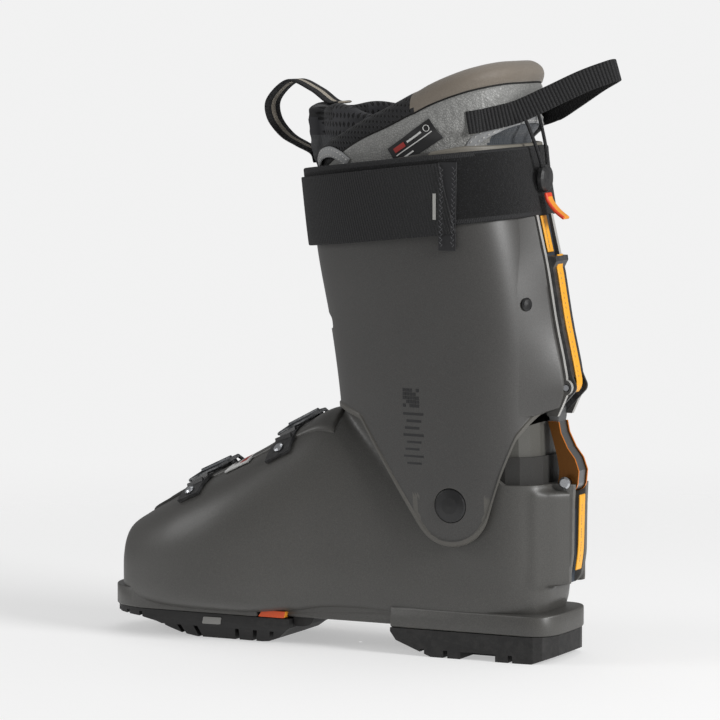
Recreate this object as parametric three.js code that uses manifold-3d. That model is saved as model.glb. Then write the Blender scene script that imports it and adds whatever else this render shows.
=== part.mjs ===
// A right-foot alpine ski boot with a rear-opening cuff, two instep buckles and a power strap.
// Millimetres. +X runs to the toe, +Y to the inner side of the foot, +Z up.
// The origin is at the middle of the heel tread, on the ground.
import * as THREE from "three";
import { mergeVertices } from "three/addons/utils/BufferGeometryUtils.js";
import Module from "manifold-3d";

const wasm = await Module();
wasm.setup();

// ---------------------------------------------------------------- driving dimensions
const SOLE_LENGTH = 317;
const HEEL_X = -51;
const TOE_X = HEEL_X + SOLE_LENGTH;
const SOLE_HALF = 34.5;
const HEEL_END_X = 58;
const LEDGE_TOP = 30;
const LEDGE_BOTTOM = 17;
const SHELL_WALL = 4.5;
const CUFF_WALL = 4;
const CUFF_TOP = 322;
const GAP = 0.3;
const SEAT = 0.4;

const ANKLE = { x: 12, z: 97 };
const PIVOT_CAP_R = 10.5;
const CUFF_LOBE_R = 26;

const LEVER_HINGE = { x: -52, z: 170 };
const LINK_TOP = { x: -40, z: 156 };
const LINK_BOTTOM = { x: -51, z: 111 };
const LINK_HALF = 7.5;
const LINK_PLATE = 1.3;
const ARM_PLATE = 1.6;
const RIB_THICK = 3.2;
const LEVER_HALF = LINK_HALF + GAP + ARM_PLATE;
const RIB_IN = LEVER_HALF + GAP;
const RIB_OUT = RIB_IN + RIB_THICK;
const BRACKET_IN = LINK_HALF + 0.6;
const BRACKET_OUT = BRACKET_IN + 3.8;

const STRAP_HEIGHT = 43;
const STRAP_THICK = 3;
const WEB_THICK = 1.6;
const STRAP_SLOPE = -0.11;
const STRAP_MID_Z = CUFF_TOP - 31;

const strapRise = (x) => STRAP_SLOPE * (x - 45);

const LINER_WALL = 9;
const THROAT_X = 107;

const BUCKLES = [
  { name: "toe", x: 199, width: 19 },
  { name: "instep", x: 136, width: 19 },
];

// ---------------------------------------------------------------- solids from geometry
function solid(geometry) {
  const bare = geometry.clone();
  bare.deleteAttribute("normal");
  bare.deleteAttribute("uv");
  const merged = mergeVertices(bare, 1e-4);
  const mesh = new wasm.Mesh({
    numProp: 3,
    vertProperties: new Float32Array(merged.attributes.position.array),
    triVerts: new Uint32Array(merged.index.array),
  });
  return new wasm.Manifold(mesh);
}

function geometryOf(body) {
  const mesh = body.getMesh();
  const geometry = new THREE.BufferGeometry();
  geometry.setAttribute("position", new THREE.BufferAttribute(new Float32Array(mesh.vertProperties), 3));
  geometry.setIndex(new THREE.BufferAttribute(new Uint32Array(mesh.triVerts), 1));
  geometry.computeVertexNormals();
  return geometry;
}

// A closed skin over rings of equal count, capped at both ends by fans.
function loftGeometry(rings) {
  const count = rings[0].length;
  const points = [];
  rings.forEach((ring) => ring.forEach((p) => points.push(p)));
  const faces = [];
  for (let r = 0; r + 1 < rings.length; r++) {
    for (let i = 0; i < count; i++) {
      const a = r * count + i;
      const b = r * count + ((i + 1) % count);
      faces.push([a, b, b + count], [a, b + count, a + count]);
    }
  }
  [0, rings.length - 1].forEach((r) => {
    const centre = rings[r].reduce((sum, p) => sum.add(p), new THREE.Vector3()).divideScalar(count);
    const hub = points.push(centre) - 1;
    for (let i = 0; i < count; i++) {
      const a = r * count + i;
      const b = r * count + ((i + 1) % count);
      faces.push(r === 0 ? [hub, b, a] : [hub, a, b]);
    }
  });
  let volume = 0;
  faces.forEach(([a, b, c]) => {
    volume += points[a].dot(new THREE.Vector3().crossVectors(points[b], points[c]));
  });
  const order = volume > 0 ? faces : faces.map(([a, b, c]) => [a, c, b]);
  const geometry = new THREE.BufferGeometry();
  geometry.setAttribute("position", new THREE.Float32BufferAttribute(points.flatMap((p) => p.toArray()), 3));
  geometry.setIndex(order.flat());
  return geometry;
}

const loft = (rings) => solid(loftGeometry(rings));

function shapeOf(points) {
  return new THREE.Shape(points.map(([a, b]) => new THREE.Vector2(a, b)));
}

function prism(points, depth) {
  return new THREE.ExtrudeGeometry(shapeOf(points), { depth, bevelEnabled: false, steps: 1 });
}

// A side outline in X and Z, carried across Y.
function sidePrism(points, y0, y1) {
  const geometry = prism(points, y1 - y0);
  geometry.rotateX(Math.PI / 2);
  geometry.translate(0, y1, 0);
  return solid(geometry);
}

// A plan outline in X and Y, carried up Z.
function planPrism(points, z0, z1) {
  const geometry = prism(points, z1 - z0);
  geometry.translate(0, 0, z0);
  return solid(geometry);
}

function box(x0, x1, y0, y1, z0, z1) {
  const geometry = new THREE.BoxGeometry(x1 - x0, y1 - y0, z1 - z0);
  geometry.translate((x0 + x1) / 2, (y0 + y1) / 2, (z0 + z1) / 2);
  return solid(geometry);
}

function rodY(x, z, radius, y0, y1, sides = 20) {
  const geometry = new THREE.CylinderGeometry(radius, radius, y1 - y0, sides);
  geometry.translate(x, (y0 + y1) / 2, z);
  return solid(geometry);
}

// A turned piece on the Y axis direction, from [radius, y] points.
function turnedY(x, z, profile, sides = 24) {
  const geometry = new THREE.LatheGeometry(profile.map(([r, y]) => new THREE.Vector2(r, y)), sides);
  geometry.translate(x, 0, z);
  return solid(geometry);
}

function arcPoints(cx, cz, radius, fromDeg, toDeg, steps) {
  const points = [];
  for (let i = 0; i <= steps; i++) {
    const t = THREE.MathUtils.degToRad(fromDeg + ((toDeg - fromDeg) * i) / steps);
    points.push([cx + radius * Math.cos(t), cz + radius * Math.sin(t)]);
  }
  return points;
}

// Smooth value of a named column in a table of rows sorted by key.
function along(rows, key, column, at) {
  const last = rows.length - 1;
  const clamp = Math.min(Math.max(at, rows[0][key]), rows[last][key]);
  let i = 0;
  while (i < last - 1 && rows[i + 1][key] < clamp) i++;
  const a = rows[i];
  const b = rows[i + 1];
  const span = b[key] - a[key];
  const t = (clamp - a[key]) / span;
  const before = rows[Math.max(i - 1, 0)];
  const after = rows[Math.min(i + 2, last)];
  const slopeA = i > 0 ? (b[column] - before[column]) / (b[key] - before[key]) : (b[column] - a[column]) / span;
  const slopeB = i + 2 <= last ? (after[column] - a[column]) / (after[key] - a[key]) : (b[column] - a[column]) / span;
  const t2 = t * t;
  const t3 = t2 * t;
  return (
    (2 * t3 - 3 * t2 + 1) * a[column] +
    (t3 - 2 * t2 + t) * span * slopeA +
    (3 * t2 - 2 * t3) * b[column] +
    (t3 - t2) * span * slopeB
  );
}

const power = (v, e) => Math.sign(v) * Math.pow(Math.abs(v), e);

// ---------------------------------------------------------------- the foot part of the shell
// Stations from the heel to the toe: floor, crest, half widths on the inner and outer side.
const TOE_BOX_X = TOE_X - 11;
const foreX = (share) => THROAT_X + share * (TOE_BOX_X - THROAT_X);
const FOOT = [
  { x: HEEL_X + 8, low: 40, top: 80, inner: 16, outer: 16 },
  { x: HEEL_X + 12, low: 28, top: 92, inner: 24, outer: 24 },
  { x: HEEL_X + 21, low: 22, top: 100, inner: 30.5, outer: 30.5 },
  { x: HEEL_X + 39, low: 20, top: 105, inner: 34.5, outer: 34.5 },
  { x: HEEL_X + 63, low: 19, top: 112, inner: 36, outer: 36 },
  { x: HEEL_X + 98, low: 20, top: 128, inner: 36.5, outer: 37 },
  { x: HEEL_X + 131, low: 22, top: 143, inner: 38, outer: 40 },
  { x: THROAT_X, low: 22, top: 149, inner: 41, outer: 44 },
  { x: foreX(0.14), low: 20, top: 138.5, inner: 46, outer: 48 },
  { x: foreX(0.33), low: 18, top: 122, inner: 51.5, outer: 51 },
  { x: foreX(0.48), low: 18, top: 110.5, inner: 52.5, outer: 50 },
  { x: foreX(0.66), low: 18, top: 97.5, inner: 49, outer: 45 },
  { x: foreX(0.79), low: 18, top: 87, inner: 43, outer: 38 },
  { x: foreX(0.9), low: 19, top: 76.5, inner: 35, outer: 29 },
  { x: foreX(0.97), low: 20, top: 68, inner: 26.5, outer: 20 },
  { x: foreX(1.0), low: 24, top: 60, inner: 18, outer: 12 },
];

const RING = 32;
const INNER_RING = 20;
const SIDE_POWER = 2.5;
const FLOOR_POWER = 4.5;
const WAIST = 0.4;

// A point of the foot's outer surface; the angle is 0 on the inner side and 90 on the crest.
function footPoint(x, degrees, inset = 0) {
  const low = along(FOOT, "x", "low", x) + inset;
  const top = along(FOOT, "x", "top", x) - inset;
  const inner = along(FOOT, "x", "inner", x) - inset;
  const outer = along(FOOT, "x", "outer", x) - inset;
  const waist = low + WAIST * (top - low);
  const t = THREE.MathUtils.degToRad(degrees);
  const up = Math.sin(t) >= 0;
  const e = 2 / (up ? SIDE_POWER : FLOOR_POWER);
  const y = power(Math.cos(t), e) * (Math.cos(t) >= 0 ? inner : outer);
  const z = waist + power(Math.sin(t), e) * (up ? top - waist : waist - low);
  return new THREE.Vector3(x, y, z);
}

function footNormal(x, degrees) {
  const forward = footPoint(x + 1, degrees).sub(footPoint(x - 1, degrees));
  const around = footPoint(x, degrees + 1).sub(footPoint(x, degrees - 1));
  return new THREE.Vector3().crossVectors(around, forward).normalize();
}

function footRing(x, inset, sides) {
  const ring = [];
  for (let i = 0; i < sides; i++) ring.push(footPoint(x, (360 * i) / sides, inset));
  return ring;
}

// The whole foot body, or the same body drawn in by an inset.
function footBody(inset, sides = RING) {
  const last = FOOT.length - 1;
  const kept = FOOT.map((row, i) => i).filter((i) => {
    const nearEnd = i === 1 || i === last - 1;
    return !(inset > 0 && nearEnd);
  });
  const rings = kept.map((i) => {
    const shift = (i === 0 ? inset : 0) - (i === last ? inset : 0);
    const ring = footRing(FOOT[i].x, inset, sides);
    ring.forEach((p) => p.setX(p.x + shift));
    return ring;
  });
  return loft(rings);
}

// ---------------------------------------------------------------- upright parts: shell neck, cuff, liner
// Levels: front and rear on the middle plane, and the half width.
const NECK = [
  { z: 36, front: 70, rear: -43, half: 34 },
  { z: 60, front: 84, rear: -43.5, half: 36.5 },
  { z: 95, front: 96, rear: -43, half: 37 },
  { z: 125, front: 102, rear: -43, half: 37 },
  { z: 158, front: 103, rear: -42, half: 37 },
];
const cuffZ = (share) => ANKLE.z + share * (CUFF_TOP - ANKLE.z);
const CUFF = [
  { z: 62, front: 96, rear: -40, half: 43.5 },
  { z: ANKLE.z, front: 102, rear: -41, half: 44.5 },
  { z: cuffZ(0.24), front: 105, rear: -39, half: 46 },
  { z: cuffZ(0.46), front: 111.5, rear: -38, half: 49 },
  { z: cuffZ(0.68), front: 120.5, rear: -32, half: 54 },
  { z: cuffZ(0.9), front: 125.5, rear: -23, half: 58.5 },
  { z: CUFF_TOP + 2, front: 127.5, rear: -20, half: 60 },
];
const linerZ = (above) => CUFF_TOP + above;
const LINER_GAP = CUFF_WALL + 1.6;
const LEVER_ROOM = 9.5;
const insideCuff = CUFF.slice(2, -1).map((row) => ({
  z: row.z,
  front: row.front - LINER_GAP,
  rear: row.rear + (row.z < cuffZ(0.6) ? LEVER_ROOM : LINER_GAP),
  half: row.half - LINER_GAP,
}));
const LINER = [
  ...insideCuff,
  { z: linerZ(-10), front: 124.5, rear: -14, half: 53.5 },
  { z: linerZ(1), front: 126, rear: -14.5, half: 53.7 },
  { z: linerZ(8), front: 127, rear: -19.5, half: 55 },
  { z: linerZ(38), front: 127, rear: -21, half: 54 },
  { z: linerZ(54), front: 124, rear: -17, half: 51 },
];

const FRONT_POWER = 2.15;
const REAR_POWER = 2.6;

function levelPoint(table, z, degrees, offset = 0) {
  const front = along(table, "z", "front", z) + offset;
  const rear = along(table, "z", "rear", z) - offset;
  const half = along(table, "z", "half", z) + offset;
  const middle = rear + half;
  const t = THREE.MathUtils.degToRad(degrees);
  const ahead = Math.cos(t) >= 0;
  const e = 2 / (ahead ? FRONT_POWER : REAR_POWER);
  const x = middle + power(Math.cos(t), e) * (ahead ? front - middle : half);
  return new THREE.Vector3(x, power(Math.sin(t), e) * half, z);
}

function levelRing(table, z, offset, sides) {
  const ring = [];
  for (let i = 0; i < sides; i++) ring.push(levelPoint(table, z, (360 * i) / sides, offset));
  return ring;
}

// A lofted column between two heights, through every level of its table in between.
function column(table, z0, z1, offset, sides = 40) {
  const between = table.map((row) => row.z).filter((z) => z > z0 + 2 && z < z1 - 2);
  return loft([z0, ...between, z1].map((z) => levelRing(table, z, offset, sides)));
}

const cuffRear = (z, offset = 0) => levelPoint(CUFF, z, 180, offset).x;

// ---------------------------------------------------------------- lower shell
function soleOutline(x0, x1, half, roundHeel, roundToe) {
  const points = [];
  if (roundToe) {
    const nose = 40;
    for (let i = 0; i <= 12; i++) {
      const t = THREE.MathUtils.degToRad(-90 + 15 * i);
      points.push([x1 - nose + nose * power(Math.cos(t), 0.85), half * power(Math.sin(t), 0.85)]);
    }
  } else {
    points.push([x1, -half], [x1, half]);
  }
  if (roundHeel) {
    const tail = 22;
    for (let i = 0; i <= 10; i++) {
      const t = THREE.MathUtils.degToRad(90 + 18 * i);
      points.push([x0 + tail + tail * power(Math.cos(t), 0.6), half * power(Math.sin(t), 0.6)]);
    }
  } else {
    points.push([x0, half], [x0, -half]);
  }
  return points;
}

const TOE_WELT_X = foreX(0.3);

function shellTopCut() {
  return sidePrism(
    [[-90, 110], [-20, 110], [4, 128], [40, 138], [104, 153], [104, 260], [-90, 260]],
    -80,
    80,
  );
}

const flapOutline = [
  [foreX(0.84), 0],
  [foreX(0.8), 11],
  [foreX(0.7), 17],
  [foreX(0.4), 22],
  [THROAT_X - 12, 27],
  [THROAT_X - 12, -30],
  [foreX(0.4), -31],
  [foreX(0.7), -22],
  [foreX(0.8), -13],
];
const FLAP_THICK = 2.4;

function grownOutline(points, gap) {
  return points.map(([x, y]) => [x + (x > foreX(0.6) ? gap : 0), y + Math.sign(y) * gap]);
}

function heelBracket() {
  const ribs = [[-38, 46], [-50, 47], [-54, 52], [-56, 66], [-56.3, 96], [-57, 112], [-56, 118],
    [-52, 119.5], [-46, 114], [-38, 109]];
  const floor = [[-38, 46], [-49, 47], [-50, 60], [-50, 92], [-44, 100], [-38, 102]];
  const rib = (side) => {
    const y = [side * BRACKET_IN, side * BRACKET_OUT].sort((a, b) => a - b);
    return sidePrism(ribs, y[0], y[1]);
  };
  const fairing = (side) => {
    const plan = [[-56.5, BRACKET_OUT - 1], [-48, 18.5], [-37, 28], [-28, 31], [-28, BRACKET_OUT - 1]];
    const points = plan.map(([x, y]) => [x, side * y]);
    return planPrism(side > 0 ? points : points.reverse(), 47, 106);
  };
  return rib(1).add(rib(-1)).add(sidePrism(floor, -BRACKET_OUT, BRACKET_OUT)).add(fairing(1)).add(fairing(-1));
}

function lowerShell() {
  const bosses = rodY(ANKLE.x, ANKLE.z, PIVOT_CAP_R - 0.8, -bossFace(), bossFace());
  let body = footBody(0).add(column(NECK, 36, 158, 0, 32));
  body = body.add(bosses);
  body = body.add(planPrism(soleOutline(HEEL_X, HEEL_END_X, SOLE_HALF, true, false), LEDGE_BOTTOM, LEDGE_TOP));
  body = body.add(planPrism(soleOutline(TOE_WELT_X, TOE_X, SOLE_HALF, false, true), LEDGE_BOTTOM, LEDGE_TOP));
  body = body.add(planPrism([[HEEL_END_X - 2, -30], [TOE_WELT_X + 2, -31], [TOE_WELT_X + 2, 31],
    [HEEL_END_X - 2, 30]], LEDGE_BOTTOM + 1, LEDGE_TOP));
  body = body.add(heelBracket());
  const hollow = footBody(SHELL_WALL, INNER_RING).add(column(NECK, 40, 170, -SHELL_WALL, INNER_RING)).subtract(
    box(-100, 300, -80, 80, 0, LEDGE_TOP - 2),
  );
  body = body.subtract(hollow).subtract(shellTopCut());
  const zone = planPrism(grownOutline(flapOutline, GAP), 60, 200);
  body = body.subtract(zone.subtract(footBody(FLAP_THICK + GAP)));
  body = body.subtract(rodY(LINK_BOTTOM.x, LINK_BOTTOM.z, 2.8, -20, 20, 16));
  return body;
}

function bossFace() {
  return levelPoint(CUFF, ANKLE.z, 90, -CUFF_WALL).y;
}

function instepFlap() {
  const cut = shellTopCut();
  return footBody(0).intersect(planPrism(flapOutline, 60, 200)).subtract(footBody(FLAP_THICK)).subtract(cut)
    .subtract(box(-100, THROAT_X - 6, -80, 80, 0, 300));
}

// ---------------------------------------------------------------- soles
function treadGrooves(xs, width, depth) {
  let cuts = null;
  xs.forEach((x) => {
    const groove = box(x - width / 2, x + width / 2, -60, 60, -1, depth);
    cuts = cuts ? cuts.add(groove) : groove;
  });
  return cuts;
}

function heelSole() {
  const outline = soleOutline(HEEL_X + 1, HEEL_END_X, SOLE_HALF - 0.4, true, false);
  const side = [[HEEL_X - 4, 6], [HEEL_X + 13, 0], [30, 0], [HEEL_END_X - 4, 9], [HEEL_END_X + 2, 17],
    [HEEL_END_X + 2, 40], [HEEL_X - 4, 40]];
  let body = planPrism(outline, 0, LEDGE_BOTTOM - GAP).intersect(sidePrism(side, -60, 60));
  body = body.subtract(treadGrooves([-24, 20, 36], 3, 4.5));
  body = body.subtract(box(-14, 10, -60, -14, -1, 4.5)).subtract(box(-14, 10, 14, 60, -1, 4.5));
  return body;
}

function toeSole() {
  const outline = soleOutline(TOE_WELT_X + 22, TOE_X - 1, SOLE_HALF - 0.4, false, true);
  const side = [[TOE_WELT_X + 20, 5], [foreX(0.34), 0.6], [foreX(0.38), 0], [foreX(0.58), 0], [foreX(0.75), 1.6],
    [foreX(0.9), 5.2], [TOE_X + 4, 10], [TOE_X + 4, 40], [TOE_WELT_X + 20, 40]];
  let body = planPrism(outline, 0, LEDGE_BOTTOM - GAP).intersect(sidePrism(side, -60, 60));
  const grooves = [0.5, 0.64, 0.78, 0.9].map((share) => foreX(share));
  grooves.forEach((x) => {
    body = body.subtract(box(x - 1.5, x + 1.5, -60, 60, -1, 8.5));
  });
  return body;
}

const INSERT_X = TOE_WELT_X - 1;

function soleInsert() {
  return planPrism(
    [[INSERT_X, -33], [INSERT_X + 22, -33.5], [INSERT_X + 22, 33.5], [INSERT_X, 33]],
    LEDGE_BOTTOM - 5,
    LEDGE_BOTTOM - GAP,
  ).subtract(box(INSERT_X + 10, INSERT_X + 30, -60, 60, 0, LEDGE_BOTTOM - 2.4));
}

function shankPad() {
  const side = [[INSERT_X - 19, 15.5], [INSERT_X - 14, 12], [INSERT_X - 4, 12], [INSERT_X - 0.6, 16],
    [INSERT_X - 0.6, LEDGE_BOTTOM + 1 - GAP], [INSERT_X - 19, LEDGE_BOTTOM + 1 - GAP]];
  return sidePrism(side, -29, 29);
}

function screwUp(x, y, z) {
  const profile = [[0, 0], [3.4, 0], [3.6, 0.6], [3.4, 2], [1.8, 2.6], [1.8, 7.2], [0, 7.6]];
  const geometry = new THREE.LatheGeometry(profile.map(([r, h]) => new THREE.Vector2(r, h)), 12);
  geometry.rotateX(Math.PI / 2);
  geometry.translate(x, y, z);
  return solid(geometry);
}

const SCREW_Z = 5.5;
const SCREWS = [
  { name: "toe_screw_inner", x: foreX(0.57), y: 20 },
  { name: "toe_screw_outer", x: foreX(0.57), y: -20 },
  { name: "heel_screw_front", x: 28, y: 0 },
  { name: "heel_screw_rear", x: -32, y: 0 },
];

function screwHole(screw) {
  const hole = new THREE.CylinderGeometry(4, 4, 20, 12);
  hole.rotateX(Math.PI / 2);
  hole.translate(screw.x, screw.y, SCREW_Z - 10 + 8.4);
  return solid(hole);
}

// ---------------------------------------------------------------- inside the shell
const BOARD_TOP = LEDGE_TOP + 6;
const INSIDE = 1.2;

function bootBoard() {
  const block = box(HEEL_X + 12, foreX(0.86), -60, 60, LEDGE_TOP - 2 + SEAT, BOARD_TOP);
  return block.intersect(footBody(SHELL_WALL + INSIDE, INNER_RING));
}

function linerFoot() {
  const outside = footBody(SHELL_WALL + INSIDE, INNER_RING).add(column(NECK, 40, 150, -SHELL_WALL - INSIDE, INNER_RING));
  const inside = footBody(SHELL_WALL + INSIDE + 5, INNER_RING).add(column(NECK, 46, 170, -SHELL_WALL - INSIDE - 5, INNER_RING));
  const above = sidePrism([[-90, 99.4], [-8, 99.4], [4, 126], [40, 136], [92, 148], [92, 260], [-90, 260]], -80, 80);
  const under = box(-100, 300, -80, 80, 0, BOARD_TOP + SEAT);
  const sole = box(-100, 300, -80, 80, 0, BOARD_TOP + 6);
  const front = box(THROAT_X - 14, 300, -80, 80, 120, 300);
  return outside.subtract(inside.subtract(sole)).subtract(above).subtract(under).subtract(front);
}

function heelCollar(z0, z1, outset, thick, name) {
  const body = column(NECK, z0, z1, outset, INNER_RING).subtract(
    column(NECK, z0 - 5, z1 + 5, outset - thick, INNER_RING),
  );
  const keep = name === "upper"
    ? [[-90, z0], [-16, z0], [-24, z1 - 6], [-40, z1], [-90, z1]]
    : [[-90, z0], [-10, z0], [-14, z1 - 6], [-22, z1], [-90, z1]];
  return body.intersect(sidePrism(keep, -80, 80));
}

// ---------------------------------------------------------------- cuff
const NOTCH_Z = cuffZ(0.49);

function cuffEdge() {
  const lobe = arcPoints(ANKLE.x, ANKLE.z, CUFF_LOBE_R, 196, 322, 9);
  return [
    [-90, 167], [-50, 158], [-37.5, 153.5], [-28, 137.5], [-20, 114], ...lobe, [78, 146], [98, 151], [160, 151],
    [160, 400], [-90, 400],
  ];
}

function cuffShell() {
  let body = column(CUFF, 62, CUFF_TOP + 2, 0, 36).subtract(column(CUFF, 55, CUFF_TOP + 10, -CUFF_WALL, 36));
  body = body.intersect(sidePrism(cuffEdge(), -90, 90));
  const top = [[-90, CUFF_TOP - 1], [0, CUFF_TOP - 3], [60, CUFF_TOP - 14], [160, CUFF_TOP - 24], [160, 420],
    [-90, 420]];
  body = body.subtract(sidePrism(top, -90, 90));
  const notch = [[104, NOTCH_Z - 6], [104, NOTCH_Z + 1], [109, NOTCH_Z + 4], [140, NOTCH_Z + 6], [140, NOTCH_Z - 9]];
  body = body.subtract(sidePrism(notch, -26, 26));
  body = body.subtract(box(-80, -8, -SLOT_HALF, SLOT_HALF, 120, SLOT_TOP));
  body = body.subtract(rodY(ANKLE.x, ANKLE.z, PIVOT_CAP_R + SEAT, -90, 90, 24));
  body = body.subtract(turnedOn(levelFrame(CUFF, PLUG.z, PLUG.angle), [[0, -9], [3.2, -9], [3.2, 9], [0, 9]], 16));
  return body;
}

const SLOT_HALF = RIB_IN;
const SLOT_TOP = LEVER_HINGE.z + 24;
const PLUG = { angle: 152, z: cuffZ(0.555) };

// A frame on a column's surface: its Y axis points straight out.
function levelFrame(table, z, degrees) {
  const round = levelPoint(table, z, degrees + 1).sub(levelPoint(table, z, degrees - 1)).normalize();
  const rise = levelPoint(table, z + 1, degrees).sub(levelPoint(table, z - 1, degrees)).normalize();
  const out = new THREE.Vector3().crossVectors(round, rise).normalize();
  const matrix = new THREE.Matrix4().makeBasis(new THREE.Vector3().crossVectors(out, rise), out, rise);
  return matrix.setPosition(levelPoint(table, z, degrees));
}

function turnedOn(frame, profile, sides) {
  const geometry = new THREE.LatheGeometry(profile.map(([r, y]) => new THREE.Vector2(r, y)), sides);
  return solid(geometry.applyMatrix4(frame));
}

function cuffPlug() {
  const profile = [[0, -5], [2.8, -5], [2.8, 0.7], [4.2, 0.7], [4.2, 1.4], [3, 2.3], [0, 2.6]];
  return turnedOn(levelFrame(CUFF, PLUG.z, PLUG.angle), profile, 16);
}

function pivotCap(side) {
  const inner = bossFace() + GAP;
  const outer = levelPoint(CUFF, ANKLE.z, 90).y + 0.6;
  const r = PIVOT_CAP_R;
  const profile = [[0, inner], [r, inner], [r, outer - 0.8], [r - 1, outer], [r * 0.5, outer + 0.8], [0, outer + 1]];
  const body = turnedY(ANKLE.x, ANKLE.z, profile, 24);
  return side > 0 ? body : body.mirror([0, 1, 0]);
}

// ---------------------------------------------------------------- rear spine, lever and link
const spineOuter = (z) => along([
  { z: 150, x: -45 },
  { z: 160, x: -50.5 },
  { z: 172, x: -52.5 },
  { z: 210, x: -44.8 },
  { z: 246, x: -38.5 },
  { z: 256, x: -36 },
  { z: 276, x: -31.4 },
  { z: 290, x: -27.5 },
], "z", "x", z);
const SPINE_TOP = STRAP_MID_Z + strapRise(-30) - STRAP_HEIGHT / 2 - 2;
const SPINE_LOW = 152;
const FLOOR_THICK = 1.8;

function spineProfile(outerOf, z0, z1, inset) {
  const levels = [];
  for (let i = 0; i <= 10; i++) levels.push(z0 + ((z1 - z0) * i) / 10);
  const front = levels.map((z) => [cuffRear(z, inset), z]);
  const back = [...levels].reverse().map((z) => [outerOf(z), z]);
  return [...front, ...back];
}

function cuffSpine() {
  const ribSide = spineProfile(spineOuter, SPINE_LOW, SPINE_TOP, SEAT);
  const floorSide = spineProfile((z) => cuffRear(z, SEAT + FLOOR_THICK), SLOT_TOP, SPINE_TOP, SEAT);
  let body = sidePrism(ribSide, RIB_IN, RIB_OUT).add(sidePrism(ribSide, -RIB_OUT, -RIB_IN));
  body = body.add(sidePrism(floorSide, -RIB_IN - 1, RIB_IN + 1));
  const lobe = (y0, y1) => rodY(LEVER_HINGE.x + 1.5, LEVER_HINGE.z, 5, y0, y1, 20);
  body = body.add(lobe(RIB_IN, RIB_OUT)).add(lobe(-RIB_OUT, -RIB_IN));
  return body.subtract(rodY(LEVER_HINGE.x, LEVER_HINGE.z, 2.3, -30, 30, 16));
}

const LEVER_TOP = 249;
const LEVER_LOW = LEVER_HINGE.z + 6;
const leverOuter = (z) => spineOuter(z) - 2.2;
const leverInner = (z) => leverOuter(z) + 4;

function heelLever() {
  const levels = [];
  for (let i = 0; i <= 8; i++) levels.push(LEVER_LOW + ((LEVER_TOP - LEVER_LOW) * i) / 8);
  const plate = [
    ...levels.map((z) => [leverInner(z), z]),
    [leverInner(LEVER_TOP) - 1, LEVER_TOP + 1.5],
    [leverOuter(LEVER_TOP) - 3, LEVER_TOP + 1.5],
    [leverOuter(LEVER_TOP) - 3.4, LEVER_TOP - 1.5],
    [leverOuter(LEVER_TOP - 5), LEVER_TOP - 6],
    ...[...levels].reverse().slice(1).map((z) => [leverOuter(z), z]),
  ];
  let body = sidePrism(plate, -LEVER_HALF, LEVER_HALF);
  const groove = [
    ...levels.slice(1, -1).map((z) => [leverOuter(z) + 1.4, z]),
    ...[...levels].reverse().slice(1, -1).map((z) => [leverOuter(z) - 9, z]),
  ];
  body = body.subtract(sidePrism(groove, -INLAY_HALF - GAP, INLAY_HALF + GAP));
  const arm = [
    ...arcPoints(LINK_TOP.x, LINK_TOP.z, 4.4, -150, 40, 8),
    [LEVER_HINGE.x + 7, LEVER_LOW + 3],
    [leverOuter(LEVER_LOW + 2), LEVER_LOW + 2],
    ...arcPoints(LEVER_HINGE.x, LEVER_HINGE.z, 5, 150, 215, 4),
  ];
  body = body.add(sidePrism(arm, LINK_HALF + GAP, LEVER_HALF)).add(sidePrism(arm, -LEVER_HALF, -LINK_HALF - GAP));
  return body.subtract(rodY(LEVER_HINGE.x, LEVER_HINGE.z, 2.3, -30, 30, 16));
}

const INLAY_HALF = 3.4;

function inlay(outerOf, z0, z1, thick, rise) {
  const levels = [];
  for (let i = 0; i <= 6; i++) levels.push(z0 + ((z1 - z0) * i) / 6);
  return sidePrism(
    [...levels.map((z) => [outerOf(z) + thick - rise, z]), ...[...levels].reverse().map((z) => [outerOf(z) - rise, z])],
    -INLAY_HALF,
    INLAY_HALF,
  );
}

function leverInlay() {
  const step = (LEVER_TOP - LEVER_LOW) / 8;
  return inlay(leverOuter, LEVER_LOW + step + 1, LEVER_TOP - step - 1, 1.1, 0);
}

function spineInlay() {
  return inlay((z) => cuffRear(z, SEAT + FLOOR_THICK + GAP + 1.2), LEVER_TOP + 4, SPINE_TOP - 4, 1.2, 0);
}

function heelInlay() {
  const side = [[-50.3, 61], [-51.6, 61], [-51.6, 91], [-50.3, 91]];
  return sidePrism(side, -INLAY_HALF, INLAY_HALF);
}

// The link's S outline, from the eye on the heel bracket up to the eye at the lever's foot.
function linkOutline(inset, top) {
  const eye = arcPoints(LINK_BOTTOM.x, LINK_BOTTOM.z, 6.6 - inset, 190, 380, 10);
  const rear = [[-44.6 - inset * -1, top], [-46 + inset, 141], [-50.5 + inset, 132], [-55.5 + inset, 125.5],
    [-58.2 + inset, 118]];
  const front = [[-45.2 - inset, 118], [-43.6 - inset, 127], [-40.5 - inset, 138], [-37.5 - inset, top]];
  const upper = inset > 0.5 ? arcPoints(LINK_TOP.x, LINK_TOP.z, 4.2, -20, 200, 10) : [];
  return [...eye, ...front, ...upper, ...rear];
}

function linkBar() {
  const half = LINK_HALF - LINK_PLATE - GAP;
  let body = sidePrism(linkOutline(0.9, 148), -half, half);
  body = body.subtract(rodY(LINK_BOTTOM.x, LINK_BOTTOM.z, 2.8, -30, 30, 16));
  return body.subtract(rodY(LINK_TOP.x, LINK_TOP.z, 2.3, -30, 30, 16));
}

function linkPlate(side) {
  const y = [side * LINK_HALF, side * (LINK_HALF - LINK_PLATE)].sort((a, b) => a - b);
  return sidePrism(linkOutline(0, 148), y[0], y[1]).subtract(rodY(LINK_BOTTOM.x, LINK_BOTTOM.z, 2.8, -30, 30, 16));
}

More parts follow.
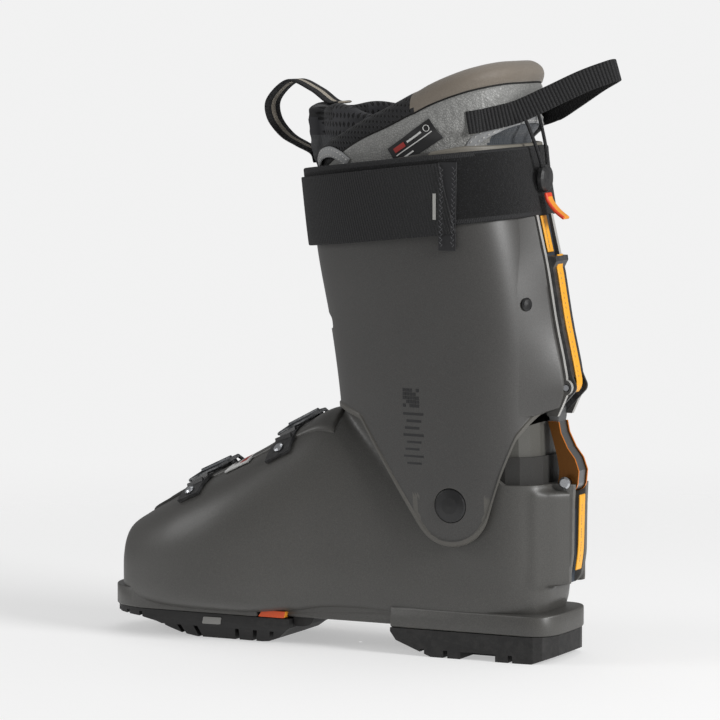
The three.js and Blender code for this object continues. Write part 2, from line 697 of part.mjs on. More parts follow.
// A rivet across Y with a domed head at each end.
function rivetY(x, z, shank, head, half, headThick) {
  const profile = [[0, -half - headThick], [head * 0.7, -half - headThick], [head, -half - headThick * 0.4],
    [head, -half], [shank, -half], [shank, half], [head, half], [head, half + headThick * 0.4],
    [head * 0.7, half + headThick], [0, half + headThick]];
  return turnedY(x, z, profile, 20);
}

// ---------------------------------------------------------------- power strap
function strapSlab(height, z) {
  const rise = (x) => z + strapRise(x);
  return sidePrism([[-90, rise(-90) - height / 2], [200, rise(200) - height / 2], [200, rise(200) + height / 2],
    [-90, rise(-90) + height / 2]], -120, 120);
}

function cuffBand(low, high, height) {
  const z0 = STRAP_MID_Z - 48;
  const z1 = STRAP_MID_Z + 48;
  const body = column(CUFF, z0, z1, high, 36).subtract(column(CUFF, z0 - 2, z1 + 2, low, 36));
  return body.intersect(strapSlab(height, STRAP_MID_Z));
}

const BAND_OUT = SEAT + STRAP_THICK;
const WEB_OUT = BAND_OUT + GAP + WEB_THICK;
const WEB_END_X = 17;
const RING_X = 52;

function strapLoop() {
  return cuffBand(SEAT, BAND_OUT, STRAP_HEIGHT);
}

function strapWeb() {
  const start = RING_X + 11 + SEAT;
  const ahead = [[WEB_END_X, 120], [WEB_END_X, 0], [start, 0], [start, -120], [200, -120], [200, 120]];
  return cuffBand(BAND_OUT + GAP, WEB_OUT, STRAP_HEIGHT).intersect(planPrism(ahead, 200, 400));
}

function strapTab() {
  return cuffBand(BAND_OUT + GAP, WEB_OUT + 1.6, STRAP_HEIGHT + 8).intersect(box(WEB_END_X - 19, WEB_END_X - 0.4, 0, 120, 200, 400));
}

function strapRing() {
  const zone = box(RING_X, RING_X + 11, -120, 0, 200, 400);
  const frame = cuffBand(BAND_OUT + GAP, WEB_OUT + 1.2, STRAP_HEIGHT + 8).intersect(zone);
  const window = cuffBand(0, 20, STRAP_HEIGHT + 0.8).intersect(box(RING_X + 3, RING_X + 8, -120, 0, 200, 400));
  return frame.subtract(window);
}

// ---------------------------------------------------------------- liner and tongue
const SWEEP_R = 88;
const LINER_RING = 28;
const TONGUE_TOP = linerZ(20);
const TONGUE_THICK = 7;
const OVERLAP_HALF = 24;

function ankleDrum(radius, half) {
  return rodY(ANKLE.x, ANKLE.z, radius, -half, half, 36);
}

function linerCuff() {
  const z1 = linerZ(54);
  let body = column(LINER, 152, z1, 0, LINER_RING).subtract(column(LINER, 148, z1 + 6, -LINER_WALL, LINER_RING));
  body = body.subtract(ankleDrum(SWEEP_R, 90));
  body = body.subtract(box(-100, 86, -90, 90, 100, 168));
  const rim = [[-90, linerZ(39)], [-21, linerZ(39)], [-12, linerZ(48)], [8, linerZ(48)], [39, linerZ(30)],
    [70, linerZ(14)], [112, linerZ(-9)], [150, linerZ(-16)], [150, 420], [-90, 420]];
  body = body.subtract(sidePrism(rim, -90, 90));
  return body.subtract(box(84, 160, -OVERLAP_HALF, OVERLAP_HALF, 100, 420));
}

function linerTongue() {
  const offset = -LINER_WALL - 0.8;
  const shape = (inset) => column(LINER, 168, TONGUE_TOP, inset, LINER_RING);
  const pad = shape(-SEAT).intersect(box(90, 160, 1 - OVERLAP_HALF, OVERLAP_HALF - 1, TONGUE_TOP - 70, TONGUE_TOP));
  const hollow = column(LINER, 160, TONGUE_TOP + 6, offset - TONGUE_THICK, LINER_RING);
  let body = shape(offset).add(pad).subtract(hollow);
  body = body.subtract(ankleDrum(SWEEP_R + 8, 90));
  return body.subtract(box(-100, 62, -90, 90, 100, 420));
}

// A flat strap along a path: points, with the direction of its width at each.
function band(points, widths, width, thick, steps) {
  const curve = new THREE.CatmullRomCurve3(points.map((p) => new THREE.Vector3(...p)));
  const side = new THREE.CatmullRomCurve3(widths.map((p) => new THREE.Vector3(...p)));
  const rings = [];
  for (let i = 0; i <= steps; i++) {
    const t = i / steps;
    const centre = curve.getPoint(t);
    const ahead = curve.getTangent(t);
    const across = side.getPoint(t);
    across.sub(ahead.clone().multiplyScalar(across.dot(ahead))).normalize();
    const normal = new THREE.Vector3().crossVectors(ahead, across).multiplyScalar(thick / 2);
    across.multiplyScalar(width / 2);
    rings.push([
      centre.clone().add(across).add(normal),
      centre.clone().sub(across).add(normal),
      centre.clone().sub(across).sub(normal),
      centre.clone().add(across).sub(normal),
    ]);
  }
  return loft(rings);
}

const LOOP_THICK = 1.6;

// Each end lies flat on the collar's outer face, then runs back and up to the tip.
function rearLoop() {
  const sewn = [[linerZ(11), 124], [linerZ(12), 131], [linerZ(13), 138]].map(([z, angle]) => {
    const at = levelPoint(LINER, z, angle, SEAT + LOOP_THICK / 2 + 0.1);
    return [at.x, at.y, at.z];
  });
  const free = [[-26, 32, 339.5], [-43, 23.5, 348], [-62, 14, 358], [-76, 5, 364]];
  const half = [...sewn, ...free];
  const points = [...half, [-79, 0, 365], ...half.map(([x, y, z]) => [x, -y, z]).reverse()];
  const lean = points.map(([x]) => [x < -25 ? 0.3 : -0.06, 0, 1]);
  return band(points, lean, 14, LOOP_THICK, 26);
}

// Sewn on top of the tongue at one end and low on its front face at the other.
function tongueLoop() {
  const off = SEAT + LOOP_THICK / 2;
  const front = (z) => [levelPoint(LINER, z, 0, off + 0.1).x, 0, z];
  const points = [[106, 0, TONGUE_TOP + off], [114, 0, TONGUE_TOP + off], [126, 0, TONGUE_TOP + 9],
    [142, 0, TONGUE_TOP + 14.5], [156, 0, TONGUE_TOP + 3], [156, 0, TONGUE_TOP - 9], [147, 0, TONGUE_TOP - 20],
    [136, 0, TONGUE_TOP - 26], front(TONGUE_TOP - 31), front(TONGUE_TOP - 37)];
  return band(points, points.map(() => [0, 1, 0]), 20, LOOP_THICK, 26);
}

// ---------------------------------------------------------------- liner lace with its lock and tab
const LOCK = { x: -31.5, z: 298 };
const LACE_R = 1.1;

function lacePath() {
  return new THREE.CatmullRomCurve3([
    new THREE.Vector3(-23.5, 15, 337),
    new THREE.Vector3(-26.5, 12, 328),
    new THREE.Vector3(-29.5, 8, 316),
    new THREE.Vector3(LOCK.x, 4, LOCK.z + 6),
    new THREE.Vector3(LOCK.x, 2.6, LOCK.z - 3),
    new THREE.Vector3(LOCK.x, 0, LOCK.z - 6),
    new THREE.Vector3(LOCK.x, -2.6, LOCK.z - 3),
    new THREE.Vector3(LOCK.x, -4, LOCK.z + 6),
    new THREE.Vector3(-29.5, -6, 316),
    new THREE.Vector3(-26.5, -7, 328),
    new THREE.Vector3(-23.5, -8, 337),
  ]);
}

function laceTube(radius, sides) {
  const section = new THREE.Shape(
    arcPoints(0, 0, radius, 0, 360 - 360 / sides, sides - 1).map(([a, b]) => new THREE.Vector2(a, b)),
  );
  return solid(new THREE.ExtrudeGeometry(section, { steps: 30, bevelEnabled: false, extrudePath: lacePath() }));
}

function cordLock() {
  const geometry = new THREE.LatheGeometry(
    [[0, -2.9], [7, -2.9], [8.6, -1.4], [8.6, 1], [7.4, 2.4], [0, 2.9]].map(([r, h]) => new THREE.Vector2(r, h)),
    20,
  );
  geometry.rotateZ(Math.PI / 2);
  geometry.translate(LOCK.x, 0, LOCK.z);
  return solid(geometry).subtract(laceTube(LACE_R + 0.45, 8));
}

function pullTab() {
  const points = [[-33.4, 0, LOCK.z - 8.9], [-35, 0, LOCK.z - 14], [-40, 0, LOCK.z - 20], [-46, 0, LOCK.z - 24.5]];
  return band(points, points.map(() => [0, 1, 0]), 9, 2.2, 8);
}

// ---------------------------------------------------------------- instep buckles
// A plate that follows the foot's surface between two stations and two angles.
function patch(x0, x1, a0, a1, low, high, nx, na) {
  const rings = [];
  for (let i = 0; i <= na; i++) {
    const angle = a0 + ((a1 - a0) * i) / na;
    const lower = [];
    const upper = [];
    for (let j = 0; j <= nx; j++) {
      const x = x0 + ((x1 - x0) * j) / nx;
      const foot = footPoint(x, angle);
      const normal = footNormal(x, angle);
      lower.push(foot.clone().addScaledVector(normal, low));
      upper.push(foot.clone().addScaledVector(normal, high));
    }
    rings.push([...lower, ...upper.reverse()]);
  }
  return loft(rings);
}

// A frame standing on the foot's surface: X along the foot, Y round it towards the outer side, Z out.
function surfaceFrame(x, angle, lift) {
  const normal = footNormal(x, angle);
  const round = footPoint(x, angle + 1).sub(footPoint(x, angle - 1)).normalize();
  const forward = new THREE.Vector3().crossVectors(round, normal).normalize();
  const origin = footPoint(x, angle).addScaledVector(normal, lift);
  const matrix = new THREE.Matrix4().makeBasis(forward, round, normal);
  matrix.setPosition(origin);
  return matrix;
}

function placed(geometry, matrix) {
  return solid(geometry.applyMatrix4(matrix));
}

// An outline in the frame's Y and Z, carried along its X.
function crossSolid(points, x0, x1, matrix) {
  const geometry = prism(points, x1 - x0);
  geometry.applyMatrix4(new THREE.Matrix4().makeBasis(
    new THREE.Vector3(0, 1, 0),
    new THREE.Vector3(0, 0, 1),
    new THREE.Vector3(1, 0, 0),
  ));
  geometry.translate(x0, 0, 0);
  return placed(geometry, matrix);
}

function rodAlongX(y, z, radius, x0, x1, matrix, sides = 12) {
  const geometry = new THREE.CylinderGeometry(radius, radius, x1 - x0, sides);
  geometry.rotateZ(Math.PI / 2);
  geometry.translate((x0 + x1) / 2, y, z);
  return placed(geometry, matrix);
}

const BUCKLE = {
  hingeAngle: 104,
  hingeLift: 6.2,
  pin: 1.4,
  earThick: 2,
  leverHalf: 7.4,
  bailPivot: 9,
  bailWire: 1.2,
  ladderFrom: 48,
  ladderTo: 88,
  barrelR: 2.4,
  plate: 2.2,
  toothHeight: 2,
};

function rivetOn(x, angle, lift, shankDepth) {
  const profile = [[0, -shankDepth], [1.7, -shankDepth], [1.7, 0], [3.4, 0], [3.4, 0.7], [2.2, 1.5], [0, 1.7]];
  const geometry = new THREE.LatheGeometry(profile.map(([r, h]) => new THREE.Vector2(r, h)), 14);
  geometry.rotateX(Math.PI / 2);
  return placed(geometry, surfaceFrame(x, angle, lift));
}

function rivetHole(x, angle) {
  const geometry = new THREE.CylinderGeometry(2.1, 2.1, 16, 12);
  geometry.rotateX(Math.PI / 2);
  return placed(geometry, surfaceFrame(x, angle, 0));
}

const LADDER_RIVET = 55;
const TEETH = [66, 74, 82];
const HOOK_ANGLE = 78;
const BASE_RIVET = 127;

function buckleLadder(at) {
  const w = at.width / 2;
  let body = patch(at.x - w + 2, at.x + w - 2, BUCKLE.ladderFrom, BUCKLE.ladderTo, SEAT, SEAT + BUCKLE.plate, 2, 7);
  TEETH.forEach((angle) => {
    const frame = surfaceFrame(at.x, angle, SEAT + BUCKLE.plate - 0.3);
    const tooth = [[-1.6, 0], [1.2, 0], [0.6, BUCKLE.toothHeight], [-0.2, BUCKLE.toothHeight]];
    body = body.add(crossSolid(tooth, -w + 3, w - 3, frame));
  });
  return body.subtract(rivetHole(at.x, LADDER_RIVET));
}

function buckleHinge(at) {
  return surfaceFrame(at.x, BUCKLE.hingeAngle, BUCKLE.hingeLift);
}

function buckleBase(at) {
  const inner = BUCKLE.leverHalf + GAP;
  const outer = inner + BUCKLE.earThick;
  const hinge = buckleHinge(at);
  let body = patch(at.x - outer, at.x + outer, 99, 133, SEAT, SEAT + 1.8, 2, 6);
  const ear = [[-4, -BUCKLE.hingeLift + 1], [5, -BUCKLE.hingeLift + 0.6], ...arcPoints(0, 0, 3, 0, 180, 8)];
  body = body.add(crossSolid(ear, inner, outer, hinge)).add(crossSolid(ear, -outer, -inner, hinge));
  body = body.add(rodAlongX(0, 0, BUCKLE.pin, -outer + 0.2, outer - 0.2, hinge));
  return body.subtract(rivetHole(at.x, BASE_RIVET));
}

// The lever's own outline in the hinge frame: eye, over-centre bump, then a tail that hugs the outer side.
function leverSide() {
  const drop = (y) => -y * y * 0.0125;
  const tail = [];
  const back = [];
  for (let i = 0; i <= 6; i++) {
    const y = 6 + i * 5;
    tail.push([y, drop(y) + 3.4 - i * 0.1]);
    back.push([y, drop(y) - 0.4 + i * 0.12]);
  }
  return [...arcPoints(0, 0, 3.2, 260, 90, 8), ...tail, [38.5, drop(38.5) + 1.6], ...back.reverse()];
}

function buckleLever(at) {
  const hinge = buckleHinge(at);
  let body = crossSolid(leverSide(), -BUCKLE.leverHalf, BUCKLE.leverHalf, hinge);
  body = body.subtract(rodAlongX(0, 0, BUCKLE.pin + 0.35, -20, 20, hinge));
  const hole = (x0, x1) => rodAlongX(BUCKLE.bailPivot, 1.1, BUCKLE.bailWire + 0.3, x0, x1, hinge);
  return body.subtract(hole(BUCKLE.leverHalf - 3, 20)).subtract(hole(-20, -BUCKLE.leverHalf + 3));
}

// A round wire bent along a polyline, with mitred corners.
function wire(points, radius, sides) {
  const directions = points.slice(1).map((point, i) => point.clone().sub(points[i]).normalize());
  const u = new THREE.Vector3(0, 0, 1).cross(directions[0]).normalize();
  const rings = points.map((point, k) => {
    const into = directions[Math.max(k - 1, 0)];
    const out = directions[Math.min(k, directions.length - 1)];
    const mitre = into.clone().add(out).normalize();
    const v = new THREE.Vector3().crossVectors(into, u);
    const ring = [];
    for (let i = 0; i < sides; i++) {
      const t = (2 * Math.PI * (i + 0.5)) / sides;
      const spoke = u.clone().multiplyScalar(radius * Math.cos(t)).addScaledVector(v, radius * Math.sin(t));
      const slide = -spoke.dot(mitre) / into.dot(mitre);
      ring.push(point.clone().add(spoke).addScaledVector(into, slide));
    }
    u.applyQuaternion(new THREE.Quaternion().setFromUnitVectors(into, out));
    return ring;
  });
  return loftGeometry(rings);
}

function buckleBail(at) {
  const hinge = buckleHinge(at);
  const inner = BUCKLE.leverHalf - 2.6;
  const outer = BUCKLE.leverHalf + GAP + BUCKLE.earThick + 0.5 + BUCKLE.bailWire;
  const hook = hookPoint(at);
  const barrel = { y: -8.2, z: 0.6 };
  const side = [[inner, BUCKLE.bailPivot, 1.1], [outer, BUCKLE.bailPivot, 1.1], [outer, 2, 3.6],
    [outer, barrel.y, barrel.z], [outer, hook.y, hook.z]];
  const route = [...side, ...side.map(([x, y, z]) => [-x, y, z]).reverse()];
  const bail = placed(wire(route.map((p) => new THREE.Vector3(...p)), BUCKLE.bailWire, 8), hinge);
  return bail.add(rodAlongX(barrel.y, barrel.z, BUCKLE.barrelR, 0.3 - outer, outer - 0.3, hinge, 12));
}

// The bail's bar sits on the inner side of the last tooth.
function hookPoint(at) {
  const toLocal = buckleHinge(at).invert();
  const lift = SEAT + BUCKLE.plate + BUCKLE.bailWire + GAP + 0.1;
  const seat = footPoint(at.x, HOOK_ANGLE).addScaledVector(footNormal(at.x, HOOK_ANGLE), lift);
  return seat.applyMatrix4(toLocal);
}

// ---------------------------------------------------------------- materials
const SHADES = {
  shell: [0x55534f, 0.55, 0],
  cuff: [0x575551, 0.55, 0],
  light: [0x7b7c7d, 0.5, 0.1],
  dark: [0x3b3b3d, 0.6, 0],
  rubber: [0x141414, 0.85, 0],
  black: [0x18181a, 0.45, 0],
  steel: [0xb8bbbe, 0.3, 1],
  bronze: [0x9a5a14, 0.35, 0.8],
  yellow: [0xf0ab2c, 0.5, 0],
  orange: [0xff6a13, 0.5, 0],
  fabric: [0x2a2a2b, 0.95, 0],
  leather: [0x5c5b59, 0.6, 0],
  web: [0x1b1b1c, 0.9, 0],
  board: [0x8c8f94, 0.8, 0],
};

const boot = new THREE.Group();

function piece(name, body, shade) {
  const [color, roughness, metalness] = SHADES[shade];
  const mesh = new THREE.Mesh(geometryOf(body), new THREE.MeshStandardMaterial({ color, roughness, metalness }));
  mesh.name = name;
  boot.add(mesh);
}

// ---------------------------------------------------------------- assembly
let shell = lowerShell();
let heel = heelSole();
let toe = toeSole();
SCREWS.forEach((screw) => {
  const hole = screwHole(screw);
  shell = shell.subtract(hole);
  heel = heel.subtract(hole);
  toe = toe.subtract(hole);
  piece(screw.name, screwUp(screw.x, screw.y, SCREW_Z), "steel");
});
let flap = instepFlap();
BUCKLES.forEach((at) => {
  [LADDER_RIVET, BASE_RIVET].forEach((angle) => {
    const hole = rivetHole(at.x, angle);
    shell = shell.subtract(hole);
    flap = flap.subtract(hole);
  });
  piece(`${at.name}_ladder`, buckleLadder(at), "black");
  piece(`${at.name}_ladder_rivet`, rivetOn(at.x, LADDER_RIVET, SEAT + BUCKLE.plate + GAP, 6), "steel");
  piece(`${at.name}_buckle_base`, buckleBase(at), "black");
  piece(`${at.name}_base_rivet`, rivetOn(at.x, BASE_RIVET, SEAT + 1.8 + GAP, 5.5), "steel");
  piece(`${at.name}_buckle_lever`, buckleLever(at), "black");
  piece(`${at.name}_bail`, buckleBail(at), "black");
});
piece("lower_shell", shell, "shell");
piece("instep_flap", flap, "shell");
piece("heel_sole", heel, "rubber");
piece("toe_sole", toe, "rubber");
piece("sole_insert", soleInsert(), "orange");
piece("shank_pad", shankPad(), "rubber");
piece("boot_board", bootBoard(), "board");
piece("liner_foot", linerFoot(), "fabric");
piece("heel_gasket", heelCollar(100, 127, -SHELL_WALL - 0.4, 2, "lower"), "dark");
piece("heel_spoiler", heelCollar(118, 150, -SHELL_WALL - 2.8, 2.4, "upper"), "light");
piece("heel_inlay", heelInlay(), "yellow");
piece("link_lower_pin", rivetY(LINK_BOTTOM.x, LINK_BOTTOM.z, 2.4, 3.8, BRACKET_OUT + GAP, 1.4), "steel");
piece("pivot_cap_inner", pivotCap(1), "black");
piece("pivot_cap_outer", pivotCap(-1), "black");

piece("cuff_shell", cuffShell(), "cuff");
piece("cuff_spine", cuffSpine(), "light");
piece("spine_inlay", spineInlay(), "yellow");
piece("cuff_plug", cuffPlug(), "black");
piece("power_strap", strapLoop(), "fabric");
piece("strap_web", strapWeb(), "web");
piece("strap_tab", strapTab(), "web");
piece("strap_ring", strapRing(), "steel");
piece("liner_cuff", linerCuff(), "leather");
piece("liner_tongue", linerTongue(), "fabric");
piece("rear_pull_loop", rearLoop(), "web");
piece("tongue_pull_loop", tongueLoop(), "web");
piece("liner_lace", laceTube(LACE_R, 8), "web");
piece("lace_lock", cordLock(), "black");
piece("lace_tab", pullTab(), "orange");
piece("lever_pin_inner", rodY(LEVER_HINGE.x, LEVER_HINGE.z, 1.9, LINK_HALF + GAP, RIB_OUT + 0.8, 16), "steel");
piece("lever_pin_outer", rodY(LEVER_HINGE.x, LEVER_HINGE.z, 1.9, -RIB_OUT - 0.8, -LINK_HALF - GAP, 16), "steel");

piece("link_bar", linkBar(), "light");
piece("link_plate_inner", linkPlate(1), "bronze");
piece("link_plate_outer", linkPlate(-1), "bronze");
piece("link_top_pin", rodY(LINK_TOP.x, LINK_TOP.z, 1.9, -LINK_HALF, LINK_HALF, 16), "steel");

piece("heel_lever", heelLever(), "dark");
piece("lever_inlay", leverInlay(), "yellow");

export default boot;
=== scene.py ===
"""Looks of an alpine ski boot: shell, cuff, rear lever, buckles, strap and soft liner.

Every size is in millimetres in the boot's own frame: +X to the toe, +Y to the inner
side of the foot, +Z up, with the origin under the heel. Meshes are made in metres.
"""
import logging
import math
from dataclasses import dataclass, field
from enum import Enum
from functools import partial
from typing import Callable, Iterable, Optional, Sequence

import bmesh
import bpy
import numpy as np
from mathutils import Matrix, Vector


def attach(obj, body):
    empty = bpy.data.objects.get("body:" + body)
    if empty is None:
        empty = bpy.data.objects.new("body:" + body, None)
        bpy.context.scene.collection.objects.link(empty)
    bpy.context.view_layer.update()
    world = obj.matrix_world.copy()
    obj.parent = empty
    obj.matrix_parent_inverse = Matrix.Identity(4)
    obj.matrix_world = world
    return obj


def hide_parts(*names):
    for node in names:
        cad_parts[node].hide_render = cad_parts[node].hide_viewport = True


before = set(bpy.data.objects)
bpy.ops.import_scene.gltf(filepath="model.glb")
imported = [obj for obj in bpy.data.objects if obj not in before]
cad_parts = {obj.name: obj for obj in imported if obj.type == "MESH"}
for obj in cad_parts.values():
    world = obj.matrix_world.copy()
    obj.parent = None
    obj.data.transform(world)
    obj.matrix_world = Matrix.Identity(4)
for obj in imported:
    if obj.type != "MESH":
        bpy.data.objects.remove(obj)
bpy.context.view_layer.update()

LOG = logging.getLogger("ski_boot")
MM = 0.001
MOULDED_EDGE = 40.0
BEYOND = 80.0
Array = np.ndarray
Piece = bpy.types.Object
Material = bpy.types.Material
Socket = bpy.types.NodeSocket
Tree = bpy.types.NodeTree
Colour = tuple[float, float, float]
Point = Sequence[float]
Pair = tuple[float, float]


class Body(str, Enum):
    """The rigid bodies that pieces ride on."""

    BOOT = "lower_boot"
    CUFF = "cuff"
    LINK = "rear_link"
    LEVER = "rear_lever"


# ------------------------------------------------------------------ meshes
def mesh_object(name: str, points: Array, faces: Sequence[Sequence[int]], smooth: bool = True) -> Piece:
    """Makes a mesh object in the scene.

    Args:
        name: name of the piece.
        points: vertices in millimetres.
        faces: vertex numbers of each face.
        smooth: shade smooth.

    Returns:
        The new object.
    """
    mesh = bpy.data.meshes.new(name)
    mesh.from_pydata((np.asarray(points, float) * MM).tolist(), [], [list(f) for f in faces])
    mesh.update()
    made = bpy.data.objects.new(name, mesh)
    bpy.context.scene.collection.objects.link(made)
    turn_outward(made)
    for polygon in mesh.polygons:
        polygon.use_smooth = smooth
    return made


def turn_outward(thing: Piece) -> None:
    """Makes every face of a closed mesh look outward.

    Args:
        thing: the piece to change.
    """
    work = bmesh.new()
    work.from_mesh(thing.data)
    bmesh.ops.recalc_face_normals(work, faces=work.faces)
    work.to_mesh(thing.data)
    work.free()


def crease(thing: Piece, degrees: float = 38.0) -> Piece:
    """Shades smooth with hard edges where faces meet at more than an angle.

    Args:
        thing: the piece to change.
        degrees: edges sharper than this stay hard.

    Returns:
        The piece.
    """
    for polygon in thing.data.polygons:
        polygon.use_smooth = True
    thing.data.set_sharp_from_angle(angle=math.radians(degrees))
    return thing


def bevel(thing: Piece, width: float, segments: int = 2, degrees: float = 40.0) -> Piece:
    """Rounds the hard edges with a modifier.

    Args:
        thing: the piece or the carried-over solid.
        width: width of the round in millimetres.
        segments: faces across the round.
        degrees: only edges sharper than this are rounded.

    Returns:
        The same object.
    """
    rounder = thing.modifiers.new("edge_round", "BEVEL")
    rounder.width = width * MM
    rounder.segments = segments
    rounder.limit_method = "ANGLE"
    rounder.angle_limit = math.radians(degrees)
    rounder.harden_normals = True
    rounder.use_clamp_overlap = True
    return thing


def eased(thing: Piece, width: float) -> Piece:
    """Rounds the hard edges of a moulded piece and shades it smooth."""
    return crease(bevel(thing, width, 2, MOULDED_EDGE), MOULDED_EDGE)


def applied(thing: Piece) -> Piece:
    """Applies every modifier of an object to its mesh.

    Args:
        thing: the object.

    Returns:
        The same object.
    """
    graph = bpy.context.evaluated_depsgraph_get()
    mesh = bpy.data.meshes.new_from_object(thing.evaluated_get(graph))
    old = thing.data
    thing.modifiers.clear()
    thing.data = mesh
    bpy.data.meshes.remove(old)
    return thing


def boolean(thing: Piece, tool: Piece, operation: str = "DIFFERENCE") -> Piece:
    """Cuts or joins a tool object into a piece and removes the tool.

    Args:
        thing: the piece to change.
        tool: the object that cuts or joins; it is removed.
        operation: DIFFERENCE or UNION or INTERSECT.

    Returns:
        The piece.
    """
    cutter = thing.modifiers.new("cut", "BOOLEAN")
    cutter.operation = operation
    cutter.solver = "MANIFOLD"
    cutter.object = tool
    applied(thing)
    bpy.data.objects.remove(tool)
    return thing


def joined(name: str, parts: Sequence[Piece]) -> Piece:
    """Joins several objects into one mesh object with a new name.

    Args:
        name: name of the piece.
        parts: the objects; they are removed.

    Returns:
        The new object.
    """
    work = bmesh.new()
    slots: list[Optional[Material]] = []
    for part in parts:
        first = len(slots)
        slots.extend(part.data.materials)
        before = len(work.faces)
        work.from_mesh(part.data)
        work.faces.ensure_lookup_table()
        for face in work.faces[before:]:
            face.material_index += first
    mesh = bpy.data.meshes.new(name)
    work.to_mesh(mesh)
    work.free()
    for material in slots:
        mesh.materials.append(material)
    for part in parts:
        bpy.data.objects.remove(part)
    made = bpy.data.objects.new(name, mesh)
    bpy.context.scene.collection.objects.link(made)
    return made


def ring_faces(rows: int, count: int, closed_rows: bool = False, capped: bool = True) -> list[list[int]]:
    """Faces of a skin over rings of equal count, laid one after another.

    Args:
        rows: number of rings.
        count: points in each ring.
        closed_rows: the last ring meets the first.
        capped: close both ends with one face each.

    Returns:
        The faces as vertex numbers.
    """
    faces: list[list[int]] = []
    for r in range(rows if closed_rows else rows - 1):
        a = r * count
        b = ((r + 1) % rows) * count
        for i in range(count):
            n = (i + 1) % count
            faces.append([a + i, a + n, b + n, b + i])
    if capped and not closed_rows:
        faces.append(list(range(count)))
        faces.append([(rows - 1) * count + i for i in range(count)])
    return faces


def lay_attribute(thing: Piece, values: Array) -> None:
    """Stores how far each vertex lies along and across a cloth, in metres.

    Args:
        thing: the piece to change.
        values: two values for each vertex, in millimetres.
    """
    layer = thing.data.attributes.new("lay", "FLOAT_VECTOR", "POINT")
    flat = np.zeros((len(thing.data.vertices), 3))
    flat[:, :2] = np.asarray(values)[:, :2] * MM
    layer.data.foreach_set("vector", flat.ravel())


def prism(name: str, outline: Sequence[Point], low: float, high: float, plane: str = "XZ") -> Piece:
    """An outline carried straight across, in the XZ plane along Y or in the XY plane along Z.

    Args:
        name: name of the piece.
        outline: corners of the outline.
        low: the lower level.
        high: the upper level.
        plane: plane of the outline, XZ or XY.

    Returns:
        The piece.
    """
    rings = []
    for level in (low, high):
        rings.extend([(a, level, b) if plane == "XZ" else (a, b, level) for a, b in outline])
    return mesh_object(name, np.array(rings), ring_faces(2, len(outline)), smooth=False)


def through(name: str, outline: Sequence[Point]) -> Piece:
    """A cutter that runs right through the boot from side to side."""
    return prism(name, outline, -BEYOND, BEYOND)


def rounded_outline(points: Sequence[Point], radius: float, steps: int = 5) -> list[Pair]:
    """A closed outline with each corner turned into a small curve.

    Args:
        points: corners of the outline.
        radius: how far a corner is cut back.
        steps: faces round each corner.

    Returns:
        The outline.
    """
    made: list[Pair] = []
    count = len(points)
    for i in range(count):
        p = np.array(points[i], float)
        into = np.array(points[i - 1], float) - p
        out = np.array(points[(i + 1) % count], float) - p
        reach = min(radius, np.linalg.norm(into) * 0.45, np.linalg.norm(out) * 0.45)
        a = p + into / np.linalg.norm(into) * reach
        b = p + out / np.linalg.norm(out) * reach
        for k in range(steps + 1):
            t = k / steps
            q = (1 - t) ** 2 * a + 2 * t * (1 - t) * p + t * t * b
            made.append((float(q[0]), float(q[1])))
    return made


def arc(x: float, y: float, radius: float, start: float, end: float, steps: int) -> list[Pair]:
    """Points on an arc, in degrees."""
    turn = [math.radians(start + (end - start) * i / steps) for i in range(steps + 1)]
    return [(x + radius * math.cos(t), y + radius * math.sin(t)) for t in turn]


def run_length(line: Array) -> Array:
    """How far each point lies along a line of points."""
    return np.concatenate([[0], np.cumsum(np.linalg.norm(np.diff(line, axis=0), axis=1))])


def straight_across(line: Array) -> Array:
    """The direction across the boot, once for each point of a line."""
    return np.tile([0.0, 1.0, 0.0], (len(line), 1))


def spline(points: Sequence[Point], count: int) -> Array:
    """A smooth curve through points, sampled at even steps of its length.

    Args:
        points: points the curve runs through.
        count: how many points.

    Returns:
        Points at even steps.
    """
    p = np.array(points, float)
    ext = np.vstack([2 * p[0] - p[1], p, 2 * p[-1] - p[-2]])
    fine = []
    for i in range(1, len(ext) - 2):
        for t in np.linspace(0, 1, 24, endpoint=False):
            a, b, c, d = ext[i - 1], ext[i], ext[i + 1], ext[i + 2]
            bend, twist = 2 * a - 5 * b + 4 * c - d, 3 * b - a - 3 * c + d
            fine.append(0.5 * (2 * b + (c - a) * t + bend * t * t + twist * t ** 3))
    fine.append(p[-1])
    line = np.array(fine)
    run = run_length(line)
    even = np.linspace(0, run[-1], count)
    return np.stack([np.interp(even, run, line[:, k]) for k in range(3)], axis=1)


def tube(name: str, points: Sequence[Point], radius: float, sides: int = 10, count: int = 60) -> Piece:
    """A round cord along a smooth curve, with its lay stored for a braid.

    Args:
        name: name of the piece.
        points: points along the middle.
        radius: radius of the cord.
        sides: faces round it.
        count: sections along it.

    Returns:
        The piece.
    """
    line = spline(points, count)
    ahead = np.gradient(line, axis=0)
    ahead /= np.linalg.norm(ahead, axis=1)[:, None]
    run = run_length(line)
    up = np.array([0.3, 1.0, 0.2])
    rings, lay = [], []
    for centre, way, far in zip(line, ahead, run):
        up = up - way * up.dot(way)
        up /= np.linalg.norm(up)
        side = np.cross(way, up)
        for k in range(sides):
            t = 2 * math.pi * k / sides
            rings.append(centre + radius * (math.cos(t) * up + math.sin(t) * side))
            lay.append((far, radius * t))
    made = mesh_object(name, np.array(rings), ring_faces(count, sides))
    lay_attribute(made, np.array(lay))
    return made


